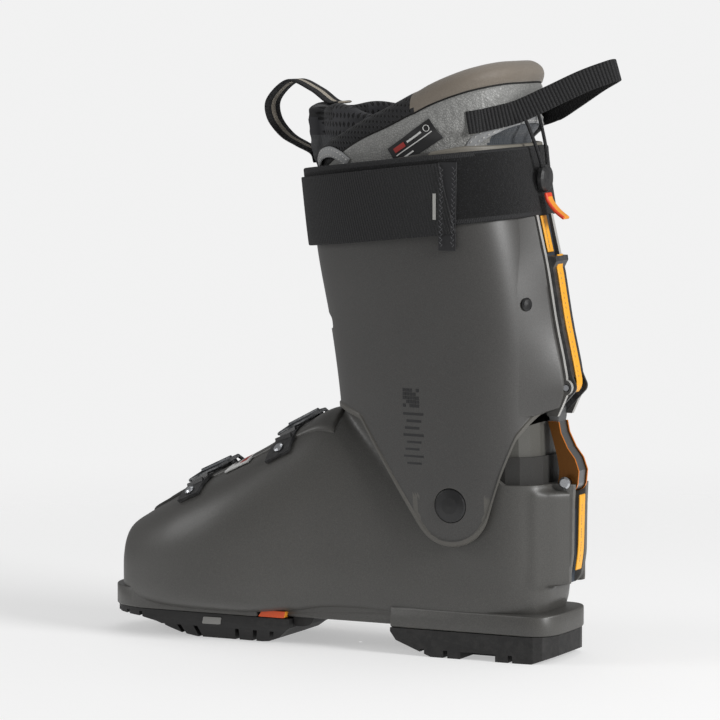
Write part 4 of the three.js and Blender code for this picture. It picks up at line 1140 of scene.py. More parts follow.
TAB_RED = Finish("tab_edge", "E2492A", "D44022", 0.45, size=0.6, depth=0.02)
LINER_FELT = Finish("liner_felt", "3A3B3E", "2A2B2E", 0.9, Surface.PILE, size=0.8, depth=0.2, sheen=0.3)
BOARD_GREY = Finish("board_plastic", "5A5A5A", "525252", 0.6, size=1.2, depth=0.05)
BADGE = Finish("sole_badge", "8C8B88", "83827F", 0.4, size=0.5, depth=0.02)


# ------------------------------------------------------------------ small shared shapes
def full_turn(count: int) -> Array:
    """Even angles all the way round."""
    return np.arange(count) * 360.0 / count


def smooth_step(value: Array, low: float, high: float) -> Array:
    """0 below the low value, 1 above the high one, smooth in between."""
    t = np.clip((np.asarray(value, float) - low) / (high - low), 0, 1)
    return t * t * (3 - 2 * t)


def hump(value: Array, centre: float, half: float) -> Array:
    """A smooth hump of height 1 round a centre."""
    t = np.clip(np.abs(np.asarray(value, float) - centre) / half, 0, 1)
    return (1 - t * t) ** 2


def patch(name: str, place: Callable[[Array, Array], Array], corners: tuple[float, float, float, float],
          thick: float, counts: tuple[int, int] = (24, 16), round_edge: float = 0.4,
          hide: float = 0.6) -> Piece:
    """A thin raised patch laid on a curved face, with rounded edges.

    Args:
        name: name of the piece.
        place: a point on the face from two parameters.
        corners: lowest and highest of the first parameter, then of the second.
        thick: how far the patch stands proud.
        counts: faces along each parameter.
        round_edge: how far in from the edge the round reaches, in the parameters' units.
        hide: how deep its back lies under the face.

    Returns:
        The patch as a closed mesh.
    """
    a0, a1, b0, b1 = corners
    us, vs = (np.concatenate([[low, low + round_edge * 0.3],
                              np.linspace(low + round_edge, high - round_edge, count),
                              [high - round_edge * 0.3, high]])
              for low, high, count in ((a0, a1, counts[0]), (b0, b1, counts[1])))
    uu, vv = np.meshgrid(us, vs, indexing="ij")
    base = place(uu, vv)
    du = place(uu + 0.05, vv) - place(uu - 0.05, vv)
    dv = place(uu, vv + 0.05) - place(uu, vv - 0.05)
    out = np.cross(du, dv)
    out /= np.maximum(np.linalg.norm(out, axis=-1, keepdims=True), 1e-9)
    centre = base.reshape(-1, 3).mean(axis=0) - np.array([40.0, 0.0, base[..., 2].mean()])
    if np.sum(out * (base - centre)) < 0:
        out = -out
    edge = np.minimum.reduce([uu - a0, a1 - uu, vv - b0, b1 - vv]) / round_edge
    lift = thick * np.sqrt(np.clip(1 - (1 - np.clip(edge, 0, 1)) ** 2, 0, 1))
    front, back = base + out * lift[..., None], base - out * hide
    nu, nv = len(us), len(vs)
    points = np.vstack([front.reshape(-1, 3), back.reshape(-1, 3)])
    faces = []
    for i in range(nu - 1):
        for j in range(nv - 1):
            q = [i * nv + j, i * nv + j + 1, (i + 1) * nv + j + 1, (i + 1) * nv + j]
            faces.append(q)
            faces.append([v + nu * nv for v in reversed(q)])
    border = list(range(nv)) + [i * nv + nv - 1 for i in range(1, nu)] + [
        (nu - 1) * nv + j for j in range(nv - 2, -1, -1)] + [i * nv for i in range(nu - 2, 0, -1)]
    for k, v in enumerate(border):
        w = border[(k + 1) % len(border)]
        faces.append([v, w, w + nu * nv, v + nu * nv])
    made = mesh_object(name, points, faces)
    lay_attribute(made, np.vstack([np.stack([uu.ravel(), vv.ravel()], axis=1)] * 2))
    return made


def dress(thing: Piece, finish: Finish) -> Piece:
    """Gives a piece one finish all over.

    Args:
        thing: the piece to change.
        finish: the finish.

    Returns:
        The piece.
    """
    thing.data.materials.clear()
    thing.data.materials.append(finish.material())
    return thing


def finished(piece: Piece, finish: Finish, body: Body, slot: str, *nodes: str) -> Piece:
    """Gives a piece one finish all over and places it on its body."""
    return placed(dress(piece, finish), body, slot, *nodes)


def sole_outline(x0: float, x1: float, half: float, heel: bool) -> list[Pair]:
    """The plan of a welt: round at the back for the heel, round at the front for the toe.

    Args:
        x0: rearmost X.
        x1: foremost X.
        half: half the width.
        heel: the heel welt, not the toe welt.

    Returns:
        The outline.
    """
    if heel:
        tail = 22.0
        turn = np.radians(np.linspace(90, 270, 41))
        xs = x0 + tail + tail * signed_power(np.cos(turn), 0.6)
        ys = half * signed_power(np.sin(turn), 0.6)
        return [(x1, -half), (x1, half), *zip(xs.tolist(), ys.tolist())]
    nose = 40.0
    turn = np.radians(np.linspace(-90, 90, 49))
    xs = x1 - nose + nose * signed_power(np.cos(turn), 0.85)
    ys = half * signed_power(np.sin(turn), 0.85)
    return [*zip(xs.tolist(), ys.tolist()), (x0, half), (x0, -half)]


def skin_body(name: str, rings: Array) -> Piece:
    """A closed body over a stack of rings."""
    return mesh_object(name, rings.reshape(-1, 3), ring_faces(rings.shape[0], rings.shape[1]))


def foot_body(name: str, inset: float, sides: int = 96, steps: int = 110) -> Piece:
    """The foot's body, drawn in by an inset.

    Args:
        name: name of the piece.
        inset: how far inside the skin.
        sides: faces round it.
        steps: sections along it.

    Returns:
        The piece.
    """
    xs = np.linspace(-43.0, 255.0, steps)
    rings = np.stack([foot_point(np.full(sides, x), full_turn(sides), inset) for x in xs])
    if inset > 0:
        keep = (xs > -37.5) & (xs < 251)
        rings = rings[keep]
    return skin_body(name, rings)


def neck_body(name: str, z0: float, z1: float, offset: float, sides: int = 96, steps: int = 40) -> Piece:
    """The ankle's body between two heights.

    Args:
        name: name of the piece.
        z0: lowest Z.
        z1: highest Z.
        offset: how far outside the skin.
        sides: faces round it.
        steps: levels up it.

    Returns:
        The piece.
    """
    levels = np.linspace(z0, z1, steps)
    return skin_body(name, np.stack([level_point(NECK, np.full(sides, z), full_turn(sides), offset)
                                     for z in levels]))


# ------------------------------------------------------------------ the rigid shells
@dataclass
class LowerShell:
    """The hard foot of the boot: its skin, welts, rear bracket and instep flap."""

    wall: float = 4.5
    voxel: float = 1.5
    heel_x: float = -51.0
    heel_end: float = 58.0
    toe_weld: float = 151.4
    toe_x: float = 266.0
    sole_half: float = 34.5
    welt_low: float = 17.0
    welt_high: float = 30.0
    rib_in: float = 8.1
    rib_out: float = 11.9
    soften: int = 14
    pin: tuple = (-51.0, 111.0, 2.8)
    fairing: tuple = ((-56.5, 9.9), (-48, 18.5), (-37, 28), (-28, 31), (-28, 9.9))
    top_cut: tuple = ((-90, 110), (-20, 110), (4, 128), (40, 138), (104, 153), (104, 260), (-90, 260))

    def skin(self) -> Piece:
        """The smooth outer skin, with the ankle blended into the foot.

        Returns:
            The closed body.
        """
        body = foot_body("shell_skin", 0.0)
        boolean(body, neck_body("ankle", 36, 158, 0.0), "UNION")
        for side in (1, -1):
            plan = [(x, side * y) for x, y in self.fairing]
            boolean(body, prism("fairing", plan, 47, 106, "XY"), "UNION")
        remesh = body.modifiers.new("blend", "REMESH")
        remesh.mode = "VOXEL"
        remesh.voxel_size = self.voxel * MM
        smooth = body.modifiers.new("soften", "SMOOTH")
        smooth.factor = 0.5
        smooth.iterations = self.soften
        return applied(body)

    def welts(self) -> list[Piece]:
        """The heel and toe welts and the strip between them, with rounded edges.

        Returns:
            The parts.
        """
        low, high = self.welt_low, self.welt_high
        tail = sole_outline(self.heel_x, self.heel_end, self.sole_half, True)
        nose = sole_outline(self.toe_weld, self.toe_x, self.sole_half, False)
        waist = [(56, -30), (153.4, -31), (153.4, 31), (56, 30)]
        slot = rounded_outline([(246, -9), (246, 9), (249.5, 9), (249.5, -9)], 1.5)
        heel = prism("heel_welt", tail, low, high, "XY")
        toe = prism("toe_welt", nose, low, high, "XY")
        strip = prism("waist_strip", waist, low + 1, high, "XY")
        boolean(toe, prism("toe_slot", slot, 27.5, 40, "XY"))
        for part in (heel, toe, strip):
            applied(bevel(part, 1.3, 3, 50))
        return [heel, toe, strip]

    def bracket(self) -> list[Piece]:
        """The two ribs at the rear that carry the link, and the floor between them.

        Returns:
            The parts.
        """
        side = [(-38, 46), (-50, 47), (-54, 52), (-56, 66), (-56.3, 96), (-57, 112), (-56, 118), (-52, 119.5),
                (-46, 114), (-38, 109)]
        outline = rounded_outline(side, 3.0, 4)
        parts = [prism("rib", outline, low, high)
                 for low, high in ((self.rib_in, self.rib_out), (-self.rib_out, -self.rib_in))]
        floor = prism("bracket_floor", [(-38, 46), (-49, 47), (-50, 60), (-50, 92), (-44, 100), (-38, 102)],
                      -self.rib_out + 1, self.rib_out - 1)
        for part in parts:
            applied(bevel(part, 0.7, 3, 40))
        return parts + [floor]

    def build(self) -> None:
        """Joins, hollows and dresses the shell."""
        body = self.skin()
        for part in [*self.welts(), *self.bracket()]:
            boolean(body, part, "UNION")
        hollow = foot_body("hollow", self.wall, 64, 80)
        boolean(hollow, neck_body("hollow_neck", 40, 170, -self.wall, 64, 24), "UNION")
        top = self.welt_high - 2
        boolean(hollow, through("hollow_floor", [(-100, 0), (300, 0), (300, top), (-100, top)]))
        boolean(body, hollow)
        boolean(body, through("top", self.top_cut))
        boolean(body, prism("pin_hole", arc(*self.pin, 0, 337.5, 15), -20, 20))
        body.name = "lower_shell_skin"
        crease(body, 34)
        materials = [finish.material() for finish in (SHELL_PLASTIC, BRACKET_GREY, SPINE_DARK)]

        def pick(x: float, y: float, z: float) -> int:
            """Shell, bracket ribs or the floor between them.

            Args:
                x: X of the face.
                y: Y of the face.
                z: Z of the face.

            Returns:
                The number of the material.
            """
            if x < -44.5 and 46.5 < z < 121 and abs(y) < self.rib_out + 0.05:
                return 2 if abs(y) < self.rib_in - 0.05 and x > -51 else 1
            return 0

        zones(body, materials, pick)
        placed(body, Body.BOOT, "shell", "lower_shell")
        self.flap()

    def flap(self) -> None:
        """The instep flap that laps over the shell from the throat to the toe."""
        inner = broken_line([(107, 27), (166.2, 22), (210.6, 17), (225.4, 11), (231.3, 1)])
        outer = broken_line([(107, 30), (166.2, 31), (210.6, 22), (225.4, 13), (231.3, 1)])

        def place(x: Array, share: Array) -> Array:
            """A point on the crest of the foot, with the share running across the flap.

            Args:
                x: X of the points.
                share: place across the flap, from -30 to 30.

            Returns:
                The points.
            """
            t = share / 60.0
            y = inner(x) * (0.5 + t) - outer(x) * (0.5 - t)
            return foot_point(x, crest_angle(x, y))

        made = patch("instep_flap_skin", place, (100.5, 231.0, -30.0, 30.0), 1.5, (70, 40), 2.6, 1.6)
        finished(made, SHELL_PLASTIC, Body.BOOT, "shell", "instep_flap")


@dataclass
class CuffShell:
    """The upper shell, hinged on the foot at the ankle."""

    wall: float = 4.0
    columns: int = 360
    slot_half: float = 9.7
    slot_top: float = 194.0
    hole: float = 10.9
    ankle: Pair = (12.0, 97.0)
    lobe: float = 26.0
    top_line: tuple = ((-90, 321), (0, 319), (60, 308), (160, 298))

    def low_edge(self) -> Callable[[Array], Array]:
        """Height of the lower edge over X.

        Returns:
            A function from X to height.
        """
        points = [(-90, 167), (-50, 158), (-37.5, 153.5), (-28, 137.5), (-20, 114),
                  *arc(*self.ankle, self.lobe, 196, 322, 40), (78, 146), (98, 151), (160, 151)]
        return broken_line(points)

    def build(self) -> None:
        """The cuff's skin with its rims, slot, notch and pivot holes."""
        angles = full_turn(self.columns)
        low = meet(CUFF, angles, self.low_edge(), 62, 220)
        high = meet(CUFF, angles, broken_line(self.top_line), 240, 330)
        kernel = np.ones(3) / 3
        low = np.convolve(np.concatenate([low[-1:], low, low[:1]]), kernel, "valid")
        low_of = {round(a, 3): v for a, v in zip(angles, low)}
        floor = np.array([low_of[round(a, 3)] for a in angles])

        def outer(angle: Array, z: Array) -> Array:
            """Offset of the outer face: a raised rim and the front lap.

            Args:
                angle: angles of the points.
                z: heights of the points.

            Returns:
                The offsets.
            """
            above = z - floor[:, None]
            rim = 0.9 * smooth_step(above, 0.0, 0.8) * (1 - smooth_step(above, 3.4, 4.6))
            lap = 1.3 * smooth_step(angle, 331, 333) * (1 - smooth_step(z, 262, 282))
            return 0.1 + rim + lap

        body = wall("cuff_skin", CUFF, angles, low, high, -self.wall, outer, rows=84, reach=0.9, turns=4,
                    fixed=(5.0, 6.0), step=0.5)
        slot = rounded_outline([(-80, 120), (-8, 120), (-8, self.slot_top), (-80, self.slot_top)], 0.5, 1)
        boolean(body, prism("slot", slot, -self.slot_half, self.slot_half))
        notch = [(104, 201.25), (104, 208.25), (109, 211.25), (140, 213.25), (140, 198.25)]
        boolean(body, prism("notch", rounded_outline(notch, 2.5), -26, 26))
        boolean(body, prism("pivot_hole", arc(*self.ankle, self.hole, 0, 356.25, 95), -90, 90))
        body.name = "cuff_shell_skin"
        crease(body, 34)
        edge = self.low_edge()
        plastic = [CUFF_PLASTIC.material(), CUFF_RIM_PAINTED_HIGHLIGHT.material(), LIP_GREY.material()]

        def pick(x: float, y: float, z: float) -> int:
            """Cuff, its lower rim painted lighter as a highlight on the raised lip, or the lip over the strap
            at the rear.

            Args:
                x: X of the face.
                y: Y of the face.
                z: Z of the face.

            Returns:
                The number of the material.
            """
            if z > 313 and x < 20:
                return 2
            # the band along the lower edge and round the lobe takes the lighter rim colour, a painted
            # highlight
            reach = 4.0 if x < -20 or x > 32 else 3.2
            if x < 110 and z < 200 and z - float(edge(np.array(x))) < reach:
                return 1
            near = math.hypot(x - self.ankle[0], z - self.ankle[1])
            return 1 if self.lobe - 3.4 < near < self.lobe + 0.5 and z < 103 else 0

        zones(body, plastic, pick)
        placed(body, Body.CUFF, "cuff", "cuff_shell")


SPINE_LINE = Table(("z", "x"), ((150, -45), (160, -50.5), (172, -52.5), (210, -44.8), (246, -38.5),
                                (256, -36), (276, -31.4), (290, -27.5)))


@dataclass
class Spine:
    """The rear of the cuff: flared cheeks beside the ribs, and the yellow strips."""

    rib_out: float = 12.6
    low: float = 153.0
    high: float = 275.0
    strip: float = 8.6
    levels: int = 50
    face_points: int = 24
    back_points: int = 12
    cheek_back: float = -1.5

    def cheek(self, side: int) -> None:
        """A flared cheek that carries the cuff's skin out to the rib.

        Args:
            side: 1 for the inner side, -1 for the outer one.
        """
        levels = np.linspace(self.low, self.high, self.levels)
        rings = []
        for z in levels:
            trial = np.linspace(110, 179.9, 500)
            skin = level_point(CUFF, np.full(len(trial), z), trial)
            reach = 36.0 - 8.0 * float(smooth_step(z, 225, 272))
            k_end = int(np.argmin(np.abs(skin[:, 1] - reach)))
            k_in = int(np.argmin(np.abs(skin[:, 1] - self.rib_out)))
            end, before = skin[k_end], skin[max(k_end - 8, 0)]
            way = (end - before) / np.linalg.norm(end - before)
            start = np.array([float(SPINE_LINE.at("x", np.array(z))) + 0.9, self.rib_out, z])
            control = end + way * 0.42 * np.linalg.norm(start - end)
            t = np.linspace(0, 1, self.face_points)[:, None]
            curve = (1 - t) ** 2 * start + 2 * t * (1 - t) * control + t * t * end
            curve[0] += np.array([0.9, 0.0, 0.0])
            turns = np.linspace(trial[k_end], trial[k_in], self.back_points)
            inside = level_point(CUFF, np.full(self.back_points, z), turns, self.cheek_back)
            ring = np.vstack([curve, inside])
            rings.append(ring * np.array([1, side, 1]))
        name = "spine_cheek_" + ("inner" if side > 0 else "outer")
        made = mesh_object(name, np.vstack(rings), ring_faces(len(levels), len(rings[0])))
        under = [(-90, 140), (-90, 172), (-56, 163), (-50, 158.5), (-37.5, 154), (-20, 140)]
        boolean(made, prism("cheek_cut", under, -60, 60))
        crease(made, 40)
        finished(made, CUFF_PLASTIC, Body.CUFF, "cuff")

    def band(self, name: str, path: Sequence[Point], body: Body, node: str) -> None:
        """A yellow strip along the middle of the rear, with its row of small dashes.

        Args:
            name: name of the piece.
            path: points along the middle.
            body: the body that it rides on.
            node: the solid that it stands for.
        """
        made = ribbon(name, path, straight_across, self.strip, 1.2, 60, 10)
        finished(made, YELLOW, body, "yellow", node)
        line = spline(path, 200)
        ahead = np.gradient(line, axis=0)
        out = np.stack([-ahead[:, 2], 0 * ahead[:, 0], ahead[:, 0]], axis=1)
        out *= np.where(out[:, :1] > 0, -1.0, 1.0) / np.linalg.norm(out, axis=1)[:, None]
        row = line + out * 0.55 + np.array([0, 1.1, 0])
        marks = [(Vector(row[i].tolist()), Vector(ahead[i].tolist())) for i in range(24, 176, 7) if i % 5]
        dashes = beads(name + "_dashes", marks, 1.5, 0.24)
        finished(dashes, BRACKET_GREY, body, "yellow")

    @staticmethod
    def spine(z: float, out: float) -> tuple[float, float, float]:
        """A point on the middle of the rear at a height, and how far out of it."""
        return float(SPINE_LINE.at("x", np.array(float(z)))) - out, 0.0, float(z)

    def build(self) -> None:
        """Both cheeks and the three strips."""
        for side in (1, -1):
            self.cheek(side)
        upper = [self.spine(z, -1.4) for z in (252.5, 258, 264, 270, 275)]
        lever = [self.spine(z, 2.6) for z in (172, 180, 195, 210, 225, 238, 244)]
        heel = [(-54.9, 0, 56), (-56.5, 0, 68), (-57.0, 0, 84), (-57.4, 0, 103)]
        self.band("spine_strip", upper, Body.CUFF, "spine_inlay")
        self.band("lever_strip", [(-53.0, 0.0, 166.5), *lever, (-42.3, 0.0, 247.5), (-41.6, 0.0, 251.4)],
                  Body.LEVER, "lever_inlay")
        self.band("heel_strip", heel, Body.BOOT, "heel_inlay")
        plate = [(-31, 251.5), (-34.4, 251.5), (-31.2, 268), (-29.0, 276), (-26, 276)]
        backing = prism("spine_backing", rounded_outline(plate, 0.6, 2), -9.4, 9.4)
        finished(backing, SPINE_DARK, Body.CUFF, "dark")


@dataclass
class Soles:
    """The toe's rocker sole with its lugs, the orange insert and the small badge."""

    rear: float = 129.0
    front: float = 264.6
    half: float = 34.2
    top: float = 16.8

    def build(self) -> None:
        """The toe sole, insert and badge."""
        body = prism("toe_tread", sole_outline(self.rear, self.front, self.half, False), 0.0, self.top, "XY")
        line = [(128, 11.5), (132, 9), (139, 3.5), (147, 0.5), (152, 0), (199, 0), (209, 1.8), (217, 5.0),
                (226, 9.0), (236, 11.8), (250, 12.6), (267, 13.0), (267, 20), (120, 20), (120, 13)]
        boolean(body, prism("tread_side", line, -60, 60), "INTERSECT")
        half = [(34.3, 20), (34.3, 12), (31, 8), (26, 0)]
        cross = [(-y, z) for y, z in half] + half[::-1]
        corners = np.array([(x, y, z) for x in (100, 280) for y, z in cross])
        chamfer = mesh_object("tread_chamfer", corners, ring_faces(2, len(cross)), False)
        boolean(body, chamfer, "INTERSECT")
        for x, lean in ((146, -3), (158, -3), (170, -2), (196, 2), (207, 3), (218, 4)):
            for side in (1, -1):
                outline = [(x - 1.4, -1), (x + 1.4, -1), (x + 1.4 + lean, 7.5), (x - 1.4 + lean, 7.5)]
                boolean(body, prism("slot", outline, *sorted((side * 17.0, side * 40.0))))
        for x in (236.0, 247.0, 257.0):
            outline = [(x - 1.2, 0), (x + 1.2, 0), (x + 1.6, 14.8), (x - 0.8, 14.8)]
            boolean(body, prism("front_slot", outline, -40, 40))
        for x in (164.0, 189.0):
            outline = [(x - 1.6, -1), (x + 1.6, -1), (x + 1.6, 4), (x - 1.6, 4)]
            boolean(body, prism("cross_slot", outline, -15, 15))
        for x, y in ((191.4, 20.0), (191.4, -20.0)):
            boolean(body, prism("screw_well", [(x + 4.2 * math.cos(t), y + 4.2 * math.sin(t)) for t in
                                               np.linspace(0, math.tau, 24, endpoint=False)], -1, 9.4, "XY"))
        eased(body, 0.7)
        finished(body, RUBBER, Body.BOOT, "rubber", "toe_sole")
        plate = rounded_outline([(132, 17.4), (150.5, 17.4), (147.5, 21.6), (131, 21.6)], 0.8, 3)
        insert = prism("sole_insert_plate", plate, -34.9, 34.9)
        eased(insert, 0.4)
        zones(insert, [INSERT_ORANGE.material(), TAB_ORANGE.material()], lambda x, y, z: int(x < 133.5))
        placed(insert, Body.BOOT, "orange", "sole_insert")
        block = rounded_outline([(113, 19), (116, 13.5), (121, 12), (128, 12), (128.6, 19)], 1.4, 3)
        lug = prism("shank_lug", block, -29, 29)
        eased(lug, 0.8)
        finished(lug, RUBBER, Body.BOOT, "rubber", "shank_pad")
        face = rounded_outline([(178, 10.2), (191, 10.0), (190, 14.6), (177, 14.8)], 0.8, 3)
        badge = prism("sole_badge", face, 33.2, 34.75)
        dress(eased(badge, 0.25), BADGE)
        placed(badge, Body.BOOT, "dark")


@dataclass
class Marks:
    """Plain marks with no words: the cuff's print, the instep patch and the toe seam."""

    right: float = 44.5
    top: float = 168.5
    block: float = 2.0
    block_step: float = 2.4
    bar_top: float = 152.0
    bar_step: float = 4.4
    proud: float = 0.12

    @staticmethod
    def on_cuff(x: Array, z: Array) -> Array:
        """A point just over the cuff's inner face."""
        return side_point(CUFF, x, z, 1, 0.08)

    @staticmethod
    def on_instep(x: Array, y: Array, lift: float) -> Array:
        """A point over the instep flap, raised by a lift."""
        return foot_point(x, crest_angle(x, y)) + np.array([0.0, 0.5, 0.8]) * (1.6 + lift)

    def build(self) -> None:
        """All the marks."""
        step, block = self.block_step, self.block
        corners = [(self.right - step * (i % 5), self.top - step * (i // 5)) for i in range(25)
                   if (i * 7) % 3 or i % 6 == 0]
        spots = [(x - block, x, z - block, z) for x, z in corners]
        for i in range(8):
            z = self.bar_top - self.bar_step * i
            spots.append((30.0 + 1.5 * (i % 3), self.right - 1.2 * ((i * 2) % 3), z, z + 1.5))
        parts = [patch(f"mark_{k}", self.on_cuff, spot, self.proud, (5, 2), 0.2, 0.2)
                 for k, spot in enumerate(spots)]
        print_marks = joined("cuff_print", parts)
        finished(print_marks, LABEL_BLACK, Body.CUFF, "black")
        for name, corners, finish, lift in (
                ("instep_patch", (161.0, 178.0, 14.0, 27.0), LABEL_WHITE, 0.0),
                ("instep_patch_red", (163.0, 168.0, 16.0, 25.0), LABEL_RED, 0.25),
                ("instep_patch_black", (170.5, 173.5, 16.0, 22.0), LABEL_BLACK, 0.25)):
            made = patch(name, partial(self.on_instep, lift=lift), corners, 0.3, (12, 8), 0.4, 1.0)
            finished(made, finish, Body.BOOT, "dark")
        keys = [(240.0, 4.0), (235.5, 10.0), (229.5, 14.0), (221.0, 17.5), (211.0, 19.5)]
        seam = [foot_point(np.array(x), crest_angle(np.array(x), np.array(y))).tolist() for x, y in keys]
        made = ribbon("toe_seam", seam, lambda p: np.tile([0.35, 0.9, -0.3], (len(p), 1)), 4.2, 2.6, 60, 8)
        finished(made, GASKET, Body.BOOT, "black")


# ------------------------------------------------------------------ the soft liner
@dataclass
class Collar:
    """The padded top of the liner: knit roll, taupe rim, leather sides and label."""

    wall: float = 9.0
    columns: int = 300
    rim: tuple = ((-90, 370.6), (-21, 370.4), (-16, 370), (-10, 368.5), (0, 365.5), (12, 361), (24, 356),
                  (33, 351.5), (45, 345.5), (55, 341), (70, 334.5), (90, 324.5), (112, 314), (150, 306))
    pad_edge: tuple = ((-30, 334), (-19.8, 333.5), (-17, 331.5), (-13.4, 328.5), (-10, 325.5), (-8, 321),
                       (-5.5, 315), (-3.8, 308), (-3, 300))
    outer_drop: float = 2.0
    arc: tuple = ((128, 300), (129.5, 309), (132, 316), (136, 322), (141, 326.5), (147, 329.5), (157, 332.5),
                  (170, 334.5), (180, 335))
    knit_from: float = 33.0
    gap_half: float = 24.0
    low: float = 176.0

    def angles(self) -> Array:
        """Angles of the columns, from one side of the front gap round to the other."""
        return np.linspace(self.front_angle(), 360 - self.front_angle(), self.columns)

    def front_angle(self) -> float:
        """Angle at which the front gap's edge lies.

        Returns:
            The angle in degrees.
        """
        trial = np.linspace(5, 60, 400)
        side = level_point(LINER, 300.0, trial)[:, 1]
        return float(np.interp(self.gap_half + 0.6, side, trial))

    def build(self) -> None:
        """The padded collar with its zones, piping, stitches and label."""
        angles = self.angles()
        high = meet(LINER, angles, broken_line(self.rim), 290, 375)
        soft = np.ones(9) / 9
        high = np.convolve(np.pad(high, 4, mode="edge"), soft, "valid")
        high -= self.outer_drop * smooth_step(angles, 190, 235) * (1 - smooth_step(angles, 250, 290))
        drum = np.array([self.low_height(a) for a in angles])

        def outer(angle: Array, z: Array) -> Array:
            """Offset of the outer face: a plump roll at the rim and soft panels below it.

            Args:
                angle: angles of the points.
                z: heights of the points.

            Returns:
                The offsets.
            """
            below = high[:, None] - z
            roll = 1.6 * hump(below, 6.5, 7.5) - 1.0 * hump(below, 13.5, 1.5)
            folds = np.sin(angle * 0.9 + z * 0.45) * np.sin(angle * 0.31 - z * 0.2)
            wrinkle = 0.25 * folds * smooth_step(below, 15, 22)
            return (roll + 0.8 * hump(below, 25, 12) + wrinkle) * smooth_step(z, 312, 326)

        body = wall("collar_pad", LINER, angles, drum, high, -self.wall, outer, rows=70, reach=4.4,
                    closed=False, turns=8, fixed=(0.0, 24.0), step=0.6)
        finishes = [LEATHER, TAUPE, KNIT, LINING, BLUE_PAD, SEAM_DARK]
        loop = len(body.data.vertices) // self.columns
        heights = np.array([v.co.z for v in body.data.vertices]).reshape(self.columns, loop) / MM
        below_of = (heights.max(axis=1, keepdims=True) - heights).ravel()

        zones(body, [f.material() for f in finishes], lambda x, y, z: 0)
        for polygon in body.data.polygons:
            x, y, z = polygon.center / MM
            below = float(np.mean([below_of[v] for v in polygon.vertices]))
            inward = polygon.normal.dot(Vector((x - 50, y, 0))) < 0
            polygon.material_index = self.zone(x, z, below, inward)
        crease(body, 60)
        placed(body, Body.CUFF, "leather", "liner_cuff")
        self.piping()

    def low_height(self, angle: float) -> float:
        """Lowest height of the collar at an angle, clear of the ankle."""
        x = float(level_point(LINER, 190.0, angle)[0])
        return max(168.0, 97.0 + math.sqrt(max(0.0, 88.6 ** 2 - (x - 12.0) ** 2))) if x < 90 else 168.0

    def zone(self, x: float, z: float, below: float, inward: bool) -> int:
        """The finish of a face: leather, taupe, knit, lining, blue pad or seam.

        Args:
            x: X of its centre.
            z: Z of its centre.
            below: how far the face lies under the rim.
            inward: the face looks into the boot.

        Returns:
            The number of the material.
        """
        knit = x > self.knit_from
        if inward:
            return 3 if below > 9 else (2 if knit else 1)
        if below < 12.8:
            return 2 if knit else 1
        if below < 14.0:
            return 5
        return 4 if x < -3 and z < broken_line(self.pad_edge)(x) else 0

    def piping(self) -> None:
        """The grey piped bands with two rows of stitches each, and the label."""
        half = [level_point(LINER, z, a, 0.9).tolist() for a, z in self.arc]
        rear = half + [(x, -y, z) for x, y, z in reversed(half[:-1])]
        front = [(80.0, 307.0), (86.0, 311.0), (94.0, 313.5), (102.0, 311.5), (107.0, 306.0)]
        bands = {"rear": rear, "front_inner": [side_point(LINER, x, z, 1, 0.9).tolist() for x, z in front],
                 "front_outer": [side_point(LINER, x, z, -1, 0.9).tolist() for x, z in front]}
        for label, path in bands.items():
            count = 40 if label == "rear" else 14
            band = ribbon(f"collar_piping_{label}", path, self.across, 6.8, 1.6, count * 4, 8)
            finished(band, PIPING, Body.CUFF, "fabric")
            for row, shift in enumerate((-1.7, 1.7)):
                line = spline(path, count * 10)
                line = line + self.across(line) * shift + self.outward(line) * 0.95
                marks = [(Vector(line[i].tolist()), Vector((line[i + 2] - line[i - 2]).tolist()))
                         for i in range(6, count * 10 - 6, 10)]
                made = beads(f"collar_stitches_{label}_{row}", marks, 1.6, 0.32)
                finished(made, THREAD, Body.CUFF, "fabric")
        self.label()

    @staticmethod
    def outward(line: Array) -> Array:
        """Directions straight out of the collar along a line on it."""
        out = np.stack([(line[:, 0] - 40) * 0.55, line[:, 1], 0 * line[:, 0]], axis=1)
        return out / np.linalg.norm(out, axis=1)[:, None]

    def across(self, line: Array) -> Array:
        """Directions across a band that lies flat on the collar.

        Args:
            line: points along the band.

        Returns:
            The directions.
        """
        ahead = np.gradient(line, axis=0)
        side = np.cross(ahead, self.outward(line))
        return side / np.linalg.norm(side, axis=1)[:, None]

    def label(self) -> None:
        """A plain sewn label with a thin line, a ring and two blocks, and no words."""
        corner, along, up = np.array([14.0, 324.0]), np.array([0.828, -0.56]), np.array([0.56, 0.828])

        def on(u: Array, v: Array, lift: float = 0.0) -> Array:
            """A point on the label from its own length and height.

            Args:
                u: place along the label.
                v: place up the label.
                lift: how far above the face.

            Returns:
                The points.
            """
            x = corner[0] + along[0] * u + up[0] * v
            z = corner[1] + along[1] * u + up[1] * v
            return side_point(LINER, x, z, 1, 1.0 + lift)

        marks = (("label_patch", (0.0, 34.0, 0.0, 14.0), 0.7, LABEL_BLACK, 0.0),
                 ("label_line", (3.0, 31.0, 6.6, 7.2), 0.25, LABEL_WHITE, 0.65),
                 ("label_block_red", (22.5, 30.5, 8.6, 11.6), 0.25, LABEL_RED, 0.65),
                 ("label_block_white", (9.0, 20.5, 9.6, 10.8), 0.25, LABEL_WHITE, 0.65),
                 ("label_block_low", (20.0, 31.0, 3.0, 3.9), 0.25, LABEL_WHITE, 0.65))
        for name, corners, thick, finish, lift in marks:
            made = patch(name, partial(on, lift=lift), corners, thick, (16, 8), min(0.5, thick), 0.3)
            finished(made, finish, Body.CUFF, "fabric")
        turn = np.linspace(0, 2 * math.pi, 25)
        circle = on(4.8 + 1.9 * np.cos(turn), 10.2 + 1.9 * np.sin(turn), 0.75)
        ring = tube("label_ring", circle.tolist(), 0.22, 6, 48)
        finished(ring, LABEL_WHITE, Body.CUFF, "fabric")


